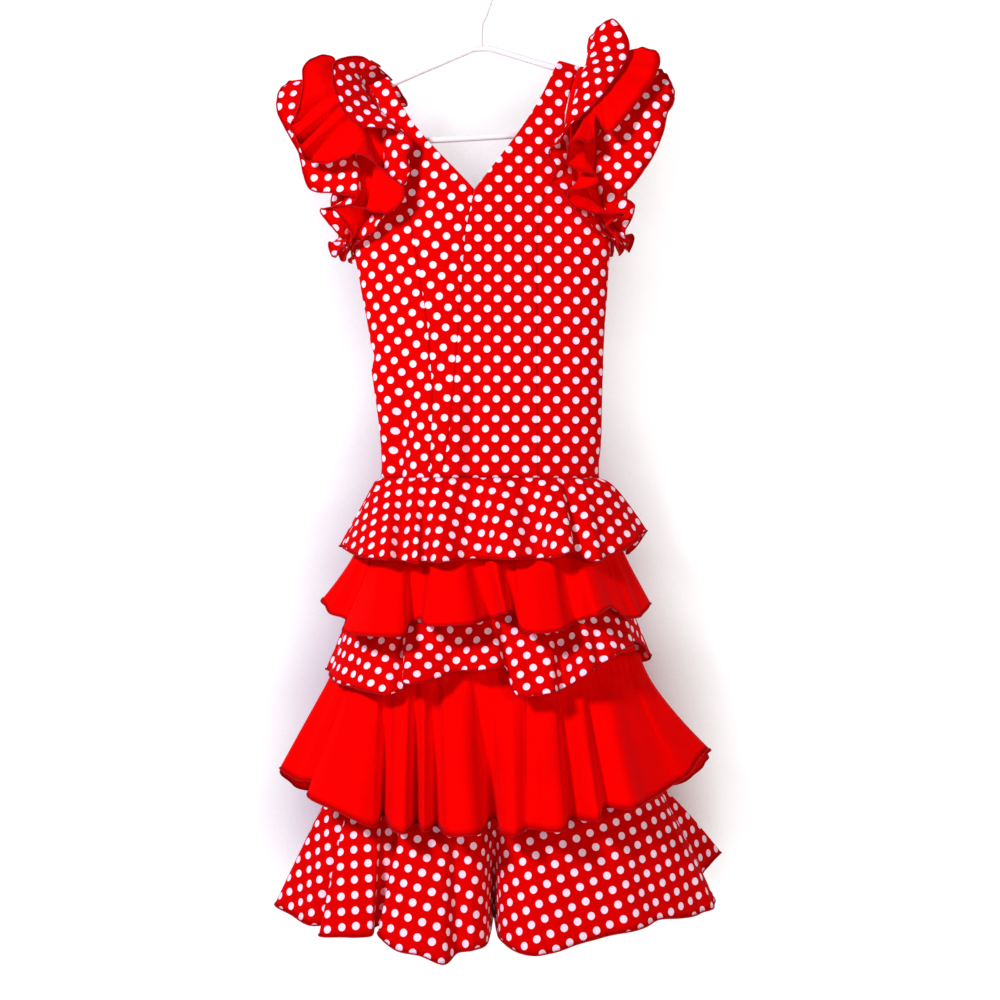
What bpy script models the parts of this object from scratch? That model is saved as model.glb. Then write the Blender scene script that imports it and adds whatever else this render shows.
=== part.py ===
"""Flamenco dress with five flounces and ruffled sleeves, hung on a tubular hanger.

Metres, +Z up. The front of the dress looks along -Y, and the wearer's left side is at +X. The origin is
the inside top of the hanger's hook, where a rail or a wall hook carries the whole dress. The tables are in
millimetres, with heights measured down from that point, and MM turns them to metres.
"""

import math
from collections import namedtuple

import bmesh
import bpy
from mathutils import Vector

MM = 0.001
OBJECT_NAME = "flamenco_dress_on_hanger"

# Cloth
WALL = 1.5                # thickness that every sheet of cloth has here
SEAM_GAP = 0.3            # clear space between two pieces at a seam
OVER = 2.3                # how far a flounce's top edge stands outside the cloth that it is sewn on

# Heights of the seams and edges
HIP_SEAM = -752.0
V_POINT = -334.0
BACK_V_POINT = -352.0
UNDERARM = -402.0
SKIRT_END = -1189.0

# Hanger
TUBE_RADIUS = 4.5
ARM_SLOPE = math.tan(math.radians(20.0))
ARM_PEAK = -106.0         # height where the two arms would meet over the middle
BAR_HEIGHT = -248.0
BAR_HALF = 186.0
BAR_MIDDLE = 75.0         # the bar's route has two more points this far from its middle
ARM_SHARES = (0.66, 0.33, 0.06)   # points along an arm, as shares of the way from its middle
END_STEPS = 8
END_RADIUS = 33.0
HOOK_RADIUS = 24.5
HOOK_WIRE = 3.0
HOOK_STEM = ((0.0, -6.0), (0.0, 14.0), (1.0, 26.0), (6.0, 36.0))   # x, and height over the arms' peak
HOOK_START = -48.0        # degrees; the hook's arc runs on from here
HOOK_SWEEP = 252.0
HOOK_STEPS = 14

# Shoulders and armholes. Both straps lie a little towards the wearer's right side on the hanger.
NECK_POINT = 126.0        # half the distance between the straps' neck edges
SHOULDER_POINT = 157.0    # half the distance between the straps' sleeve edges
SHOULDER_SHIFT = -11.0
STRAP_CLEAR = 0.6
ARMHOLE_IN = 128.0        # half the distance across the chest between the armholes
NECK_BOW = {-1: 16.0, 1: 12.0}   # how far the neck edges of the right and left straps bow out
ARMHOLE_TOP = ARM_PEAK - ARM_SLOPE * SHOULDER_POINT + TUBE_RADIUS + STRAP_CLEAR + WALL
ARMHOLE_MIDDLE = (ARMHOLE_TOP + UNDERARM) / 2
ARMHOLE_HALF = (ARMHOLE_TOP - UNDERARM) / 2
ARMHOLE_SCOOP = 2.2       # the armhole's lower half turns out to the underarm as this power of the way down
NECK_BOW_LEAN = 1.2       # above 1, the neck edge bows most above its middle

# The dress hangs a little out of level: the wearer's left shoulder is the higher one.
HANG_TILT = 0.065
TILT_END = -590.0
TILT_START = -150.0

ROUNDNESS = 2.25          # exponent of the body's oval sections, 2 for an ellipse

Section = namedtuple("Section", "height right left front back")
BODY = (
    Section(-100, -191, 191, 16, 14),
    Section(-200, -191, 191, 30, 24),
    Section(-260, -191, 191, 38, 28),
    Section(-334, -191, 191, 45, 32),
    Section(-408, -190, 192, 49, 34),
    Section(-444, -182, 189, 49, 34),
    Section(-481, -176, 187, 47, 34),
    Section(-518, -169, 184, 45, 34),
    Section(-555, -163, 182, 43, 35),
    Section(-573, -158, 181, 42, 36),
    Section(-589, -162, 181, 42, 37),
    Section(-607, -160, 180, 43, 39),
    Section(-651, -154, 179, 48, 44),
    Section(-695, -149, 178, 57, 51),
    Section(-752, -149, 175, 68, 60),
    Section(-830, -170, 193, 80, 68),
    Section(-925, -188, 212, 90, 75),
    Section(-1006, -199, 228, 98, 80),
    Section(-1100, -203, 236, 102, 84),
    Section(-1230, -207, 243, 106, 87),
)

# Soft folds that run down the body to the hip seam
Crease = namedtuple("Crease", "side top_x top_height end_x end_height width depth")
CREASES = (
    Crease("front", -99, -560, -127, -752, 20, 13),
    Crease("front", -5, -570, -15, -752, 18, 12),
    Crease("back", -70, -520, -84, -752, 22, 12),
    Crease("back", 44, -540, 60, -752, 20, 13),
    Crease("back", 116, -600, 128, -752, 18, 9),
)
CREASE_EASE = 0.45        # share of a fold's depth that is left where it meets the hip seam
CREASE_FADE = 60.0        # the folds die out this far below the hip seam

Seam = namedtuple("Seam", "height x")
CENTRE_FRONT = (Seam(-334, -9), Seam(-394, -22), Seam(-445, -26), Seam(-502, -30), Seam(-560, -34),
                Seam(-625, -39), Seam(-697, -47), Seam(-752, -56))
PRINCESS_RIGHT = (Seam(-325, -113), Seam(-357, -105), Seam(-394, -99), Seam(-423, -92), Seam(-480, -85),
                  Seam(-524, -78), Seam(-582, -73), Seam(-640, -70), Seam(-752, -73))
PRINCESS_LEFT = (Seam(-325, 101), Seam(-357, 87), Seam(-408, 82), Seam(-604, 82), Seam(-752, 83))
CENTRE_BACK = (Seam(-352, -4), Seam(-550, 2), Seam(-752, 12))
BACK_PRINCESS_RIGHT = (Seam(-340, -112), Seam(-420, -96), Seam(-580, -82), Seam(-752, -78))
BACK_PRINCESS_LEFT = (Seam(-340, 108), Seam(-420, 98), Seam(-580, 90), Seam(-752, 92))
SEAM_SPREAD = 40.0        # height over which a princess seam swings out to the armhole

SIDE_GAP = 0.14           # half the gap at a side seam, in degrees round the body
STRAP_SPREAD = 0.8        # how fast front and back part below the shoulder

SKIRT_COLUMNS, SKIRT_ROWS = 24, 5
PANEL_ROWS = 8            # rows of faces between the hip seam and the neckline's point
# Where the rows up a strap meet the armhole, in degrees round it: 0 the front or back, 90 the shoulder
STRAP_PLACES = (-10, 10, 30, 50, 68, 80, 90)
UNDERARM_PLACES = (-10, -30, -50, -70, -90)

# Each row is one line of a flounce's folds, a crest or a valley: where it leaves the seam, where it stands
# at the hem, and how far the hem hangs below the seam there. The rows run from the wearer's right side
# across the front to the left side.
Fold = namedtuple("Fold", "seam_x hem_x hem_y drop")
FLOUNCE_1 = (
    Fold(-147, -205, -15, 99), Fold(-141, -176, -75, 111), Fold(-128, -132, -122, 115),
    Fold(-114, -111, -104, 117), Fold(-97, -87, -128, 120), Fold(-78, -78, -112, 118),
    Fold(-61, -53, -134, 118), Fold(-26, -17, -106, 115), Fold(-3, 6, -104, 114),
    Fold(15, 24, -126, 114), Fold(40, 47, -130, 114), Fold(63, 83, -108, 114),
    Fold(88, 105, -134, 111), Fold(108, 129, -130, 103), Fold(119, 136, -100, 110),
    Fold(136, 163, -114, 118), Fold(149, 181, -88, 110), Fold(160, 208, -72, 101),
    Fold(173, 244, -15, 77),
)
FLOUNCE_2 = (
    Fold(-169, -233, -20, 98), Fold(-160, -215, -55, 118), Fold(-148, -190, -75, 124),
    Fold(-142, -191, -112, 139), Fold(-133, -151, -160, 139), Fold(-113, -104, -158, 139),
    Fold(-101, -100, -114, 130), Fold(-80, -83, -114, 119), Fold(-64, -73, -160, 125),
    Fold(-48, -36, -180, 123), Fold(-32, -4, -166, 121), Fold(-14, 8, -115, 120),
    Fold(0, 24, -116, 117), Fold(14, 36, -166, 108), Fold(30, 47, -120, 111),
    Fold(48, 58, -160, 131), Fold(72, 78, -174, 134), Fold(97, 112, -166, 131),
    Fold(114, 137, -112, 123),
    Fold(136, 163, -150, 111), Fold(154, 185, -104, 105), Fold(167, 209, -86, 122),
    Fold(184, 235, -48, 119), Fold(191, 249, -12, 106),
)
FLOUNCE_3 = (
    Fold(-186, -222, -25, 110), Fold(-178, -207, -72, 119), Fold(-163, -167, -118, 123),
    Fold(-141, -127, -140, 128), Fold(-120, -106, -124, 121), Fold(-101, -106, -152, 108),
    Fold(-80, -94, -162, 110), Fold(-51, -58, -150, 104), Fold(-26, -34, -128, 96),
    Fold(-3, -5, -148, 94), Fold(14, 27, -150, 89), Fold(26, 36, -128, 94),
    Fold(42, 46, -146, 122), Fold(57, 61, -158, 128), Fold(93, 100, -160, 122),
    Fold(108, 115, -132, 121), Fold(131, 144, -154, 100), Fold(157, 167, -128, 88),
    Fold(178, 184, -122, 78), Fold(196, 209, -86, 69), Fold(207, 228, -40, 65),
    Fold(210, 253, 25, 92), Fold(204, 249, 48, 103),
)
FLOUNCE_4 = (
    Fold(-197, -295, -25, 170), Fold(-189, -265, -60, 179), Fold(-182, -237, -85, 179),
    Fold(-178, -243, -112, 191), Fold(-169, -215, -135, 199), Fold(-156, -175, -172, 208),
    Fold(-142, -143, -168, 222), Fold(-131, -134, -122, 215), Fold(-117, -118, -180, 223),
    Fold(-102, -99, -194, 224), Fold(-91, -87, -142, 222), Fold(-80, -74, -190, 223),
    Fold(-67, -60, -142, 226), Fold(-53, -42, -196, 227), Fold(-36, -14, -204, 224),
    Fold(-22, 4, -186, 224), Fold(-6, 13, -128, 222), Fold(6, 23, -124, 222),
    Fold(24, 30, -172, 230),
    Fold(42, 47, -198, 227), Fold(65, 65, -178, 222), Fold(84, 91, -200, 220),
    Fold(102, 116, -196, 218), Fold(112, 125, -146, 216), Fold(137, 160, -192, 208),
    Fold(149, 174, -142, 201), Fold(175, 207, -170, 197), Fold(196, 245, -112, 193),
    Fold(212, 292, -65, 175), Fold(225, 334, -12, 145), Fold(225, 340, 45, 172),
    Fold(216, 330, 76, 197), Fold(204, 294, 102, 222),
)
FLOUNCE_5 = (
    Fold(-204, -301, -30, 182), Fold(-198, -269, -70, 187), Fold(-191, -238, -100, 192),
    Fold(-183, -209, -108, 190), Fold(-179, -221, -134, 195), Fold(-163, -184, -152, 192),
    Fold(-141, -149, -150, 191), Fold(-129, -145, -118, 188), Fold(-108, -130, -116, 189),
    Fold(-94, -139, -148, 189), Fold(-81, -113, -172, 203), Fold(-67, -80, -182, 207),
    Fold(-50, -48, -184, 219), Fold(-34, -30, -148, 214), Fold(-19, -9, -154, 209),
    Fold(-3, 8, -136, 209), Fold(9, 14, -98, 204), Fold(18, 19, -60, 190),
    Fold(28, 24, -100, 200), Fold(37, 29, -132, 202), Fold(51, 49, -160, 208),
    Fold(74, 78, -178, 209), Fold(97, 100, -172, 206), Fold(129, 148, -160, 195),
    Fold(157, 195, -146, 188), Fold(175, 230, -132, 185), Fold(184, 255, -108, 181),
    Fold(207, 302, -75, 187), Fold(234, 342, -30, 182), Fold(238, 331, 30, 160),
    Fold(232, 369, 85, 138), Fold(222, 318, 98, 190),
)

# The back of each flounce: pairs of crests and valleys, evenly shared out and then varied. The numbers say
# how far they stand outside the body, out at the sides and across the back.
Flounce = namedtuple("Flounce", "name seam front_folds back_pairs crest valley beside drop "
                                "opens_right opens_left rows")
FLOUNCES = (
    Flounce("flounce_1_dotted", -752.4, FLOUNCE_1, 7, 46, 24, 20, 108, 0.93, 0.7, 2),
    Flounce("flounce_2_plain", -830, FLOUNCE_2, 6, 54, 26, 26, 126, 1.35, 1.05, 2),
    Flounce("flounce_3_dotted", -925, FLOUNCE_3, 6, 52, 26, 16, 112, 1.3, 0.9, 2),
    Flounce("flounce_4_plain", -1006, FLOUNCE_4, 6, 64, 24, 74, 220, 0.97, 1.38, 3),
    Flounce("flounce_5_dotted", -1190, FLOUNCE_5, 6, 70, 16, 84, 203, 0.9, 0.78, 3),
)
STEPS = 3                 # columns of faces from one line of a fold to the next
BACK_SWING = 0.24         # share by which the back's folds differ from each other
BACK_TURN = 2.3           # radians from one fold's difference to the next
BACK_SHIFT = 0.22         # of a fold's share of the way, that it moves sideways
BACK_DROP = 0.03          # share by which their drops differ
BESIDE_FADE = 0.6         # the sides' reach turns into the back's as this power of the sine
VALLEY_HOLD = 0.4         # the deepest valleys keep near the body further down than the crests do
VALLEY_DEEP = 30.0

# Short sleeve caps under the ruffles
CAP_TOP = 75.0
CAP_UNDER = 12.0
CAP_TAPER = 0.12          # the cap's edge is this much flatter than the armhole
CAP_DROOP = 0.10          # and this share of its length lower at the shoulder
CAP_SWELL = 0.8           # the cap lengthens towards the shoulder as this power of the way up
CAP_ROWS = 2

# A ruffle is gathered on the cap's seam and its edge falls in folds. Each row is one line of a fold, from
# its place on the seam (0 is the front, 90 the shoulder, 180 the back) to where it stands at the edge. The
# rows run from the underarm up the front and over the shoulder; the back's folds are evenly shared out.
Petal = namedtuple("Petal", "place hem_x hem_height hem_y")
RIGHT_INNER = (Petal(-80, -185, -414, -30), Petal(-63, -153, -396, -54), Petal(-48, -135, -369, -64),
    Petal(-34, -120, -348, -58), Petal(-20, -108, -331, -68), Petal(-6, -100, -311, -60),
    Petal(8, -106, -294, -68), Petal(22, -98, -273, -60), Petal(36, -115, -256, -66),
    Petal(49, -185, -244, -80), Petal(62, -213, -164, -58), Petal(74, -181, -140, -38),
    Petal(86, -148, -149, -20), Petal(96, -162, -134, 6), Petal(105, -132, -155, 36),
    Petal(113, -113, -188, 46), Petal(122, -149, -174, 62))
RIGHT_MIDDLE = (Petal(-80, -192, -413, -30), Petal(-68, -185, -401, -52), Petal(-57, -197, -384, -62),
    Petal(-48, -209, -363, -62), Petal(-38, -168, -369, -78), Petal(-29, -137, -376, -76),
    Petal(-20, -115, -362, -72), Petal(-12, -108, -343, -80), Petal(-5, -125, -327, -88),
    Petal(2, -147, -310, -92), Petal(9, -170, -295, -90), Petal(16, -193, -299, -84),
    Petal(23, -222, -305, -76), Petal(30, -250, -297, -64), Petal(37, -253, -288, -84),
    Petal(43, -262, -271, -56), Petal(49, -262, -267, -80), Petal(55, -274, -248, -56),
    Petal(62, -261, -226, -66), Petal(70, -257, -186, -46), Petal(78, -257, -152, -32),
    Petal(88, -234, -130, -12), Petal(98, -215, -134, 6))
RIGHT_OUTER = (Petal(-80, -206, -413, -14), Petal(-68, -196, -411, -34), Petal(-57, -214, -390, -42),
    Petal(-46, -222, -381, -44), Petal(-36, -232, -365, -44), Petal(-26, -216, -363, -52),
    Petal(-16, -189, -361, -60), Petal(-6, -178, -352, -64), Petal(3, -205, -343, -56),
    Petal(12, -244, -336, -44), Petal(22, -256, -314, -42), Petal(32, -263, -283, -40),
    Petal(42, -274, -262, -38), Petal(52, -285, -242, -40), Petal(62, -296, -217, -34),
    Petal(72, -295, -188, -24), Petal(82, -281, -168, -8), Petal(92, -261, -167, 6),
    Petal(102, -277, -174, 22))
LEFT_INNER = (Petal(-80, 193, -405, -26), Petal(-63, 155, -387, -54), Petal(-48, 134, -365, -60),
    Petal(-34, 121, -347, -68), Petal(-20, 103, -328, -60), Petal(-8, 109, -311, -72),
    Petal(4, 98, -287, -64), Petal(15, 111, -274, -74), Petal(25, 126, -251, -64),
    Petal(35, 146, -232, -60), Petal(45, 167, -212, -60), Petal(54, 189, -183, -56),
    Petal(63, 211, -146, -40), Petal(71, 215, -112, -26), Petal(79, 195, -80, -18),
    Petal(88, 173, -87, -4), Petal(97, 159, -105, 12), Petal(106, 163, -126, 32))
LEFT_MIDDLE = (Petal(-80, 200, -411, -28), Petal(-68, 200, -401, -50), Petal(-56, 180, -392, -64),
    Petal(-45, 206, -374, -62), Petal(-35, 174, -376, -72), Petal(-27, 133, -366, -76),
    Petal(-18, 125, -347, -80), Petal(-10, 159, -339, -84), Petal(-3, 165, -327, -92),
    Petal(6, 124, -309, -88), Petal(16, 131, -277, -96), Petal(25, 160, -277, -86),
    Petal(34, 165, -235, -66), Petal(44, 183, -262, -80), Petal(54, 219, -222, -70),
    Petal(64, 253, -170, -52), Petal(74, 258, -136, -36), Petal(84, 234, -123, -22),
    Petal(94, 220, -128, -2), Petal(104, 240, -137, 16))
LEFT_OUTER = (Petal(-80, 213, -411, -14), Petal(-67, 216, -408, -34), Petal(-55, 208, -398, -44),
    Petal(-43, 219, -375, -46), Petal(-31, 222, -356, -42), Petal(-20, 206, -345, -48),
    Petal(-9, 219, -331, -50), Petal(3, 234, -311, -56), Petal(15, 250, -286, -52),
    Petal(27, 263, -254, -56), Petal(39, 269, -227, -50), Petal(50, 279, -209, -40),
    Petal(60, 281, -187, -32), Petal(70, 271, -160, -20), Petal(80, 260, -150, -6),
    Petal(90, 269, -166, 8), Petal(100, 256, -170, 26))
Ruffle = namedtuple("Ruffle", "name side along back_turn petals")
RUFFLES = (
    Ruffle("ruffle_right_inner_dotted", -1, 0.12, 76, RIGHT_INNER),
    Ruffle("ruffle_right_middle_plain", -1, 0.5, 54, RIGHT_MIDDLE),
    Ruffle("ruffle_right_outer_dotted", -1, 0.95, 30, RIGHT_OUTER),
    Ruffle("ruffle_left_inner_dotted", 1, 0.12, 76, LEFT_INNER),
    Ruffle("ruffle_left_middle_plain", 1, 0.5, 54, LEFT_MIDDLE),
    Ruffle("ruffle_left_outer_dotted", 1, 0.95, 30, LEFT_OUTER),
)
RUFFLE_OVER = 3.0         # how far a ruffle's seam stands outside the cap
RUFFLE_RISE = 0.45        # share of its width that the cloth stands straight up before it bends to its edge
RUFFLE_RISE_MOST = 20.0
RUFFLE_UPRIGHT = 1.5      # away from the shoulder it stands up less, by this power of its place's sine
BACK_PETALS = 8
BACK_REACH = 54.0
BACK_REACH_UNDER = 18.0   # narrower where it nears the underarm
BACK_FADE = 80.0          # over this many degrees
BACK_TURN_SWING = 14.0    # degrees that the back's folds swing in and out
PETAL_STEPS = 2           # columns of faces from one line of a fold to the next
RUFFLE_ROWS = 3

# Concealed zip in the centre-back seam: only its slider and pull tab are hard pieces
ZIP_DROP = 9.0            # the pull's hinge below the back neckline's point
ZIP_CLEAR = 0.4
SLIDER_WIDTH = 6.0
SLIDER_HEIGHT = 9.0
SLIDER_DEPTH = 2.4
HINGE_OUT = 2.2           # the hinge's axis outside the slider's face
BRIDGE_WIDTH = 1.6        # the bridge is the small arch that holds the pull's bar
BRIDGE_ROOM = 1.2         # the bridge's inner faces stand this far from the hinge's axis
BRIDGE_POST = 1.0
BRIDGE_ROOF = 0.8
TAB_HALF_BAR = 0.6
TAB_WINDOW = 2.6
TAB_WINDOW_END = -3.5
TAB_WIDTH = 5.0
TAB_LENGTH = 21.0

DOT_RED = (0.80, 0.0, 0.004, 1.0)
PLAIN_RED = (0.85, 0.0, 0.0, 1.0)
WHITE_PLASTIC = (0.85, 0.85, 0.86, 1.0)
PAINTED_RED = (0.45, 0.0, 0.004, 1.0)


def material(name, colour, roughness, metallic=0.0):
    """One plain Principled material."""
    made = bpy.data.materials.new(name)
    made.use_nodes = True
    shader = made.node_tree.nodes["Principled BSDF"]
    shader.inputs["Base Color"].default_value = colour
    shader.inputs["Roughness"].default_value = roughness
    shader.inputs["Metallic"].default_value = metallic
    return made


def mix(a, b, share):
    return a + (b - a) * share


def smooth(share):
    """Ease from 0 to 1."""
    share = min(max(share, 0.0), 1.0)
    return share * share * (3.0 - 2.0 * share)


def spline(a, b, c, d, share):
    """A smooth curve's value between b and c, with a and d as their neighbours."""
    return b + 0.5 * share * (c - a + share * (2 * a - 5 * b + 4 * c - d + share * (3 * (b - c) + d - a)))


def seam_x(seam, height):
    """Where a seam stands across the dress at this height."""
    if height >= seam[0].height:
        return seam[0].x
    for upper, lower in zip(seam, seam[1:]):
        if height >= lower.height:
            return mix(upper.x, lower.x, (upper.height - height) / (upper.height - lower.height))
    return seam[-1].x


def section_at(height):
    """The body's oval at this height, read smoothly between the table's rows."""
    last = len(BODY) - 1
    row = 0
    while row < last - 1 and height < BODY[row + 1].height:
        row += 1
    upper, lower = BODY[row], BODY[row + 1]
    share = (upper.height - height) / (upper.height - lower.height)
    share = min(max(share, 0.0), 1.0)
    before, after = BODY[max(row - 1, 0)], BODY[min(row + 2, last)]
    values = [spline(a, b, c, d, share) for a, b, c, d in zip(before, upper, lower, after)]
    return Section(height, *values[1:])


def crease_depth(is_front, x, height):
    """How far the folds in the body draw the cloth in at this place."""
    depth = 0.0
    for crease in CREASES:
        if (crease.side == "front") != is_front:
            continue
        along = (crease.top_height - height) / (crease.top_height - crease.end_height)
        middle = mix(crease.top_x, crease.end_x, min(max(along, 0.0), 1.0))
        fade = 1.0 - (1.0 - CREASE_EASE) * smooth(2.0 * along - 1.0)
        fade *= 1.0 - smooth((crease.end_height - height) / CREASE_FADE)
        near = math.exp(-((x - middle) / crease.width) ** 2)
        depth += crease.depth * smooth(along) * fade * near
    return depth


def angle_at(x, height, is_front):
    """The place round the body, in degrees: 180 the right side, 270 the front, 360 the left, 450 the back."""
    section = section_at(height)
    middle = (section.right + section.left) / 2
    half = (section.left - section.right) / 2
    across = min(max((x - middle) / half, -1.0), 1.0)
    turn = math.degrees(math.acos(math.copysign(abs(across) ** (ROUNDNESS / 2), across)))
    return 360.0 - turn if is_front else 360.0 + turn


def body_point(angle, height, out=0.0):
    """A point on the body's surface, or `out` millimetres outside it, as x and y."""
    section = section_at(height)
    middle = (section.right + section.left) / 2
    half = (section.left - section.right) / 2
    cosine, sine = math.cos(math.radians(angle)), math.sin(math.radians(angle))
    is_front = sine < 0.0
    depth = section.front if is_front else section.back
    across = math.copysign(abs(cosine) ** (2 / ROUNDNESS), cosine)
    along = math.copysign(abs(sine) ** (2 / ROUNDNESS), sine)
    normal = Vector((math.copysign(abs(across) ** (ROUNDNESS - 1), across) / half,
                     math.copysign(abs(along) ** (ROUNDNESS - 1), along) / depth))
    normal.normalize()
    x = middle + half * across
    out -= crease_depth(is_front, x, height) * smooth(abs(sine) * 2)
    return x + normal.x * out, depth * along + normal.y * out


def hang(x, y, height):
    """The point in metres, with the small tilt that the shoulders hang at."""
    weight = smooth((height - TILT_END) / (TILT_START - TILT_END))
    return Vector((x, y, height + HANG_TILT * weight * x)) * MM


def shoulder_top(x):
    """The height of a strap's outer face where it passes over the hanger's arm."""
    return ARM_PEAK - ARM_SLOPE * abs(x) + TUBE_RADIUS + STRAP_CLEAR + WALL


def bodice_point(x, height, is_front, inside=0.0):
    """A point on the bodice's outer face, or `inside` millimetres within it.

    Near the shoulder the cloth wraps over the hanger's arm.
    """
    flat_x, flat_y = body_point(angle_at(x, height, is_front), height, -inside)
    sign = -1.0 if is_front else 1.0
    radius = TUBE_RADIUS + STRAP_CLEAR + WALL
    below = max(shoulder_top(x) - height, 0.0)
    if below < radius:
        shrink = (radius - inside) / radius
        height = shoulder_top(x) - inside - below * shrink
        wrap = math.sqrt(below * (2 * radius - below)) * shrink
    else:
        wrap = radius + STRAP_SPREAD * (below - radius) - inside
    if wrap < abs(flat_y):
        return hang(x, sign * max(wrap, SEAM_GAP / 2), height)
    return hang(flat_x, flat_y, height)


def armhole_height(place):
    return ARMHOLE_MIDDLE + ARMHOLE_HALF * math.sin(math.radians(place))


def armhole_x(side, height):
    """Where the armhole's edge stands across the dress at this height."""
    share = (height - ARMHOLE_MIDDLE) / ARMHOLE_HALF
    shift = SHOULDER_SHIFT * (1.0 + share) / 2
    if share > 0.0:
        return side * mix(ARMHOLE_IN, SHOULDER_POINT, share ** 2) + shift
    underarm = section_at(UNDERARM)
    edge = underarm.left if side > 0 else underarm.right
    return mix(side * ARMHOLE_IN, edge, abs(share) ** ARMHOLE_SCOOP) + shift


def princess_x(seam, side, height):
    """Where a princess seam stands at this height; its top swings out to the armhole's edge."""
    top = armhole_height(STRAP_PLACES[0])
    swing = smooth(1.0 - (top - height) / SEAM_SPREAD)
    return mix(seam_x(seam, height), armhole_x(side, top), swing)


def sheet(name, outer, inner, made_of, collection):
    """An open sheet of cloth: a loft between unlike edges, from the points of its outer and inner faces.

    The rows run upwards and the columns turn anticlockwise round the dress, so faces point outwards.
    """
    columns, rows = len(outer[0]), len(outer)
    count = rows * columns
    faces = []
    for row in range(rows - 1):
        for a in range(row * columns, (row + 1) * columns - 1):
            faces.append((a, a + 1, a + 1 + columns, a + columns))
            faces.append((a + count, a + columns + count, a + 1 + columns + count, a + 1 + count))
    for a in range(columns - 1):
        faces.append((a + 1, a, a + count, a + 1 + count))
        top = a + count - columns
        faces.append((top, top + 1, top + 1 + count, top + count))
    for row in range(rows - 1):
        a = row * columns
        faces.append((a, a + columns, a + columns + count, a + count))
        a += columns - 1
        faces.append((a + columns, a, a + count, a + columns + count))
    mesh = bpy.data.meshes.new(name)
    mesh.from_pydata([point for grid in (outer, inner) for row in grid for point in row], [], faces)
    mesh.materials.append(made_of)
    mesh.shade_smooth()
    made = bpy.data.objects.new(name, mesh)
    collection.objects.link(made)
    return made


def surface(name, grid, made_of, collection):
    """A closed ring of cloth: a loft through rows of points, given its wall by Solidify."""
    columns = len(grid[0])
    mesh = bpy.data.meshes.new(name)
    points = [point for row in grid for point in row]
    faces = []
    for row in range(len(grid) - 1):
        for column in range(columns):
            a = row * columns + column
            b = row * columns + (column + 1) % columns
            faces.append((a, b, b + columns, a + columns))
    mesh.from_pydata(points, [], faces)
    mesh.materials.append(made_of)
    mesh.shade_smooth()
    made = bpy.data.objects.new(name, mesh)
    collection.objects.link(made)
    wall = made.modifiers.new("wall", "SOLIDIFY")
    wall.thickness = WALL * MM
    wall.offset = -1.0
    wall.use_even_offset = False
    return made


def panel(name, spots, is_front, flip, made_of, collection):
    """A bodice panel from rows of spots (x, height): its two faces and the wall between them."""
    grids = []
    for inside in (0.0, WALL):
        grid = [[bodice_point(x, height, is_front, inside) for x, height in row] for row in spots]
        grids.append([row[::-1] for row in grid] if flip else grid)
    return sheet(name, grids[0], grids[1], made_of, collection)


def panel_heights(top):
    return [mix(HIP_SEAM, top, step / PANEL_ROWS) for step in range(PANEL_ROWS + 1)]


def centre_panel(name, side, is_front, middle, princess, columns, made_of, collection):
    """A middle panel with its shoulder strap, between the centre seam and a princess seam."""
    point_x, point = middle[0].x, middle[0].height
    neck_x = side * NECK_POINT + SHOULDER_SHIFT
    neck_top = shoulder_top(neck_x)
    edges = []
    for inner, outer in zip(panel_heights(point), panel_heights(armhole_height(STRAP_PLACES[0]))):
        edges.append((princess_x(princess, side, outer), outer, seam_x(middle, inner), inner))
    full = ARMHOLE_TOP - armhole_height(STRAP_PLACES[0])
    for place in STRAP_PLACES[1:]:
        outer = armhole_height(place)
        drop = ARMHOLE_TOP - outer
        inner = neck_top - drop * mix(1.0, (neck_top - point) / full, drop / full)
        share = (inner - point) / (neck_top - point)
        bow = side * NECK_BOW[side] * math.sin(math.pi * share ** NECK_BOW_LEAN)
        outer_x = armhole_x(side, outer)
        edges.append((outer_x, shoulder_top(outer_x) - drop, mix(point_x, neck_x, share) + bow, inner))
    spots = []
    for outer_x, outer, inner_x, inner in edges:
        outer_x -= side * SEAM_GAP / 2
        inner_x += side * SEAM_GAP / 2
        spots.append([(mix(outer_x, inner_x, column / columns), mix(outer, inner, column / columns))
                      for column in range(columns + 1)])
    return panel(name, spots, is_front, (side < 0) != is_front, made_of, collection)


def side_panel(name, side, is_front, princess, made_of, collection):
    """A side panel, between a princess seam and the side seam, cut away at its top by the armhole."""
    columns = len(UNDERARM_PLACES) - 1
    if side > 0:
        end = 360.0 - SIDE_GAP if is_front else 360.0 + SIDE_GAP
    else:
        end = 180.0 + SIDE_GAP if is_front else 540.0 - SIDE_GAP
    grids = []
    for inside in (0.0, WALL):
        grid = []
        for step in range(PANEL_ROWS + 1):
            up = step / PANEL_ROWS
            first = mix(HIP_SEAM, armhole_height(UNDERARM_PLACES[0]), up)
            start = angle_at(princess_x(princess, side, first) + side * SEAM_GAP / 2, first, is_front)
            row = []
            for column, place in enumerate(UNDERARM_PLACES):
                share = column / columns
                top = armhole_height(place)
                cut = angle_at(armhole_x(side, top), top, is_front)
                angle = mix(start, end, share)
                angle = mix(angle, cut, up ** 2) if 0 < column < columns else angle
                height = mix(HIP_SEAM, top, up)
                x, y = body_point(angle, height, -inside)
                row.append(hang(x, y, height))
            grid.append(row if (side > 0) == is_front else row[::-1])
        grids.append(grid)
    return sheet(name, grids[0], grids[1], made_of, collection)


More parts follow.
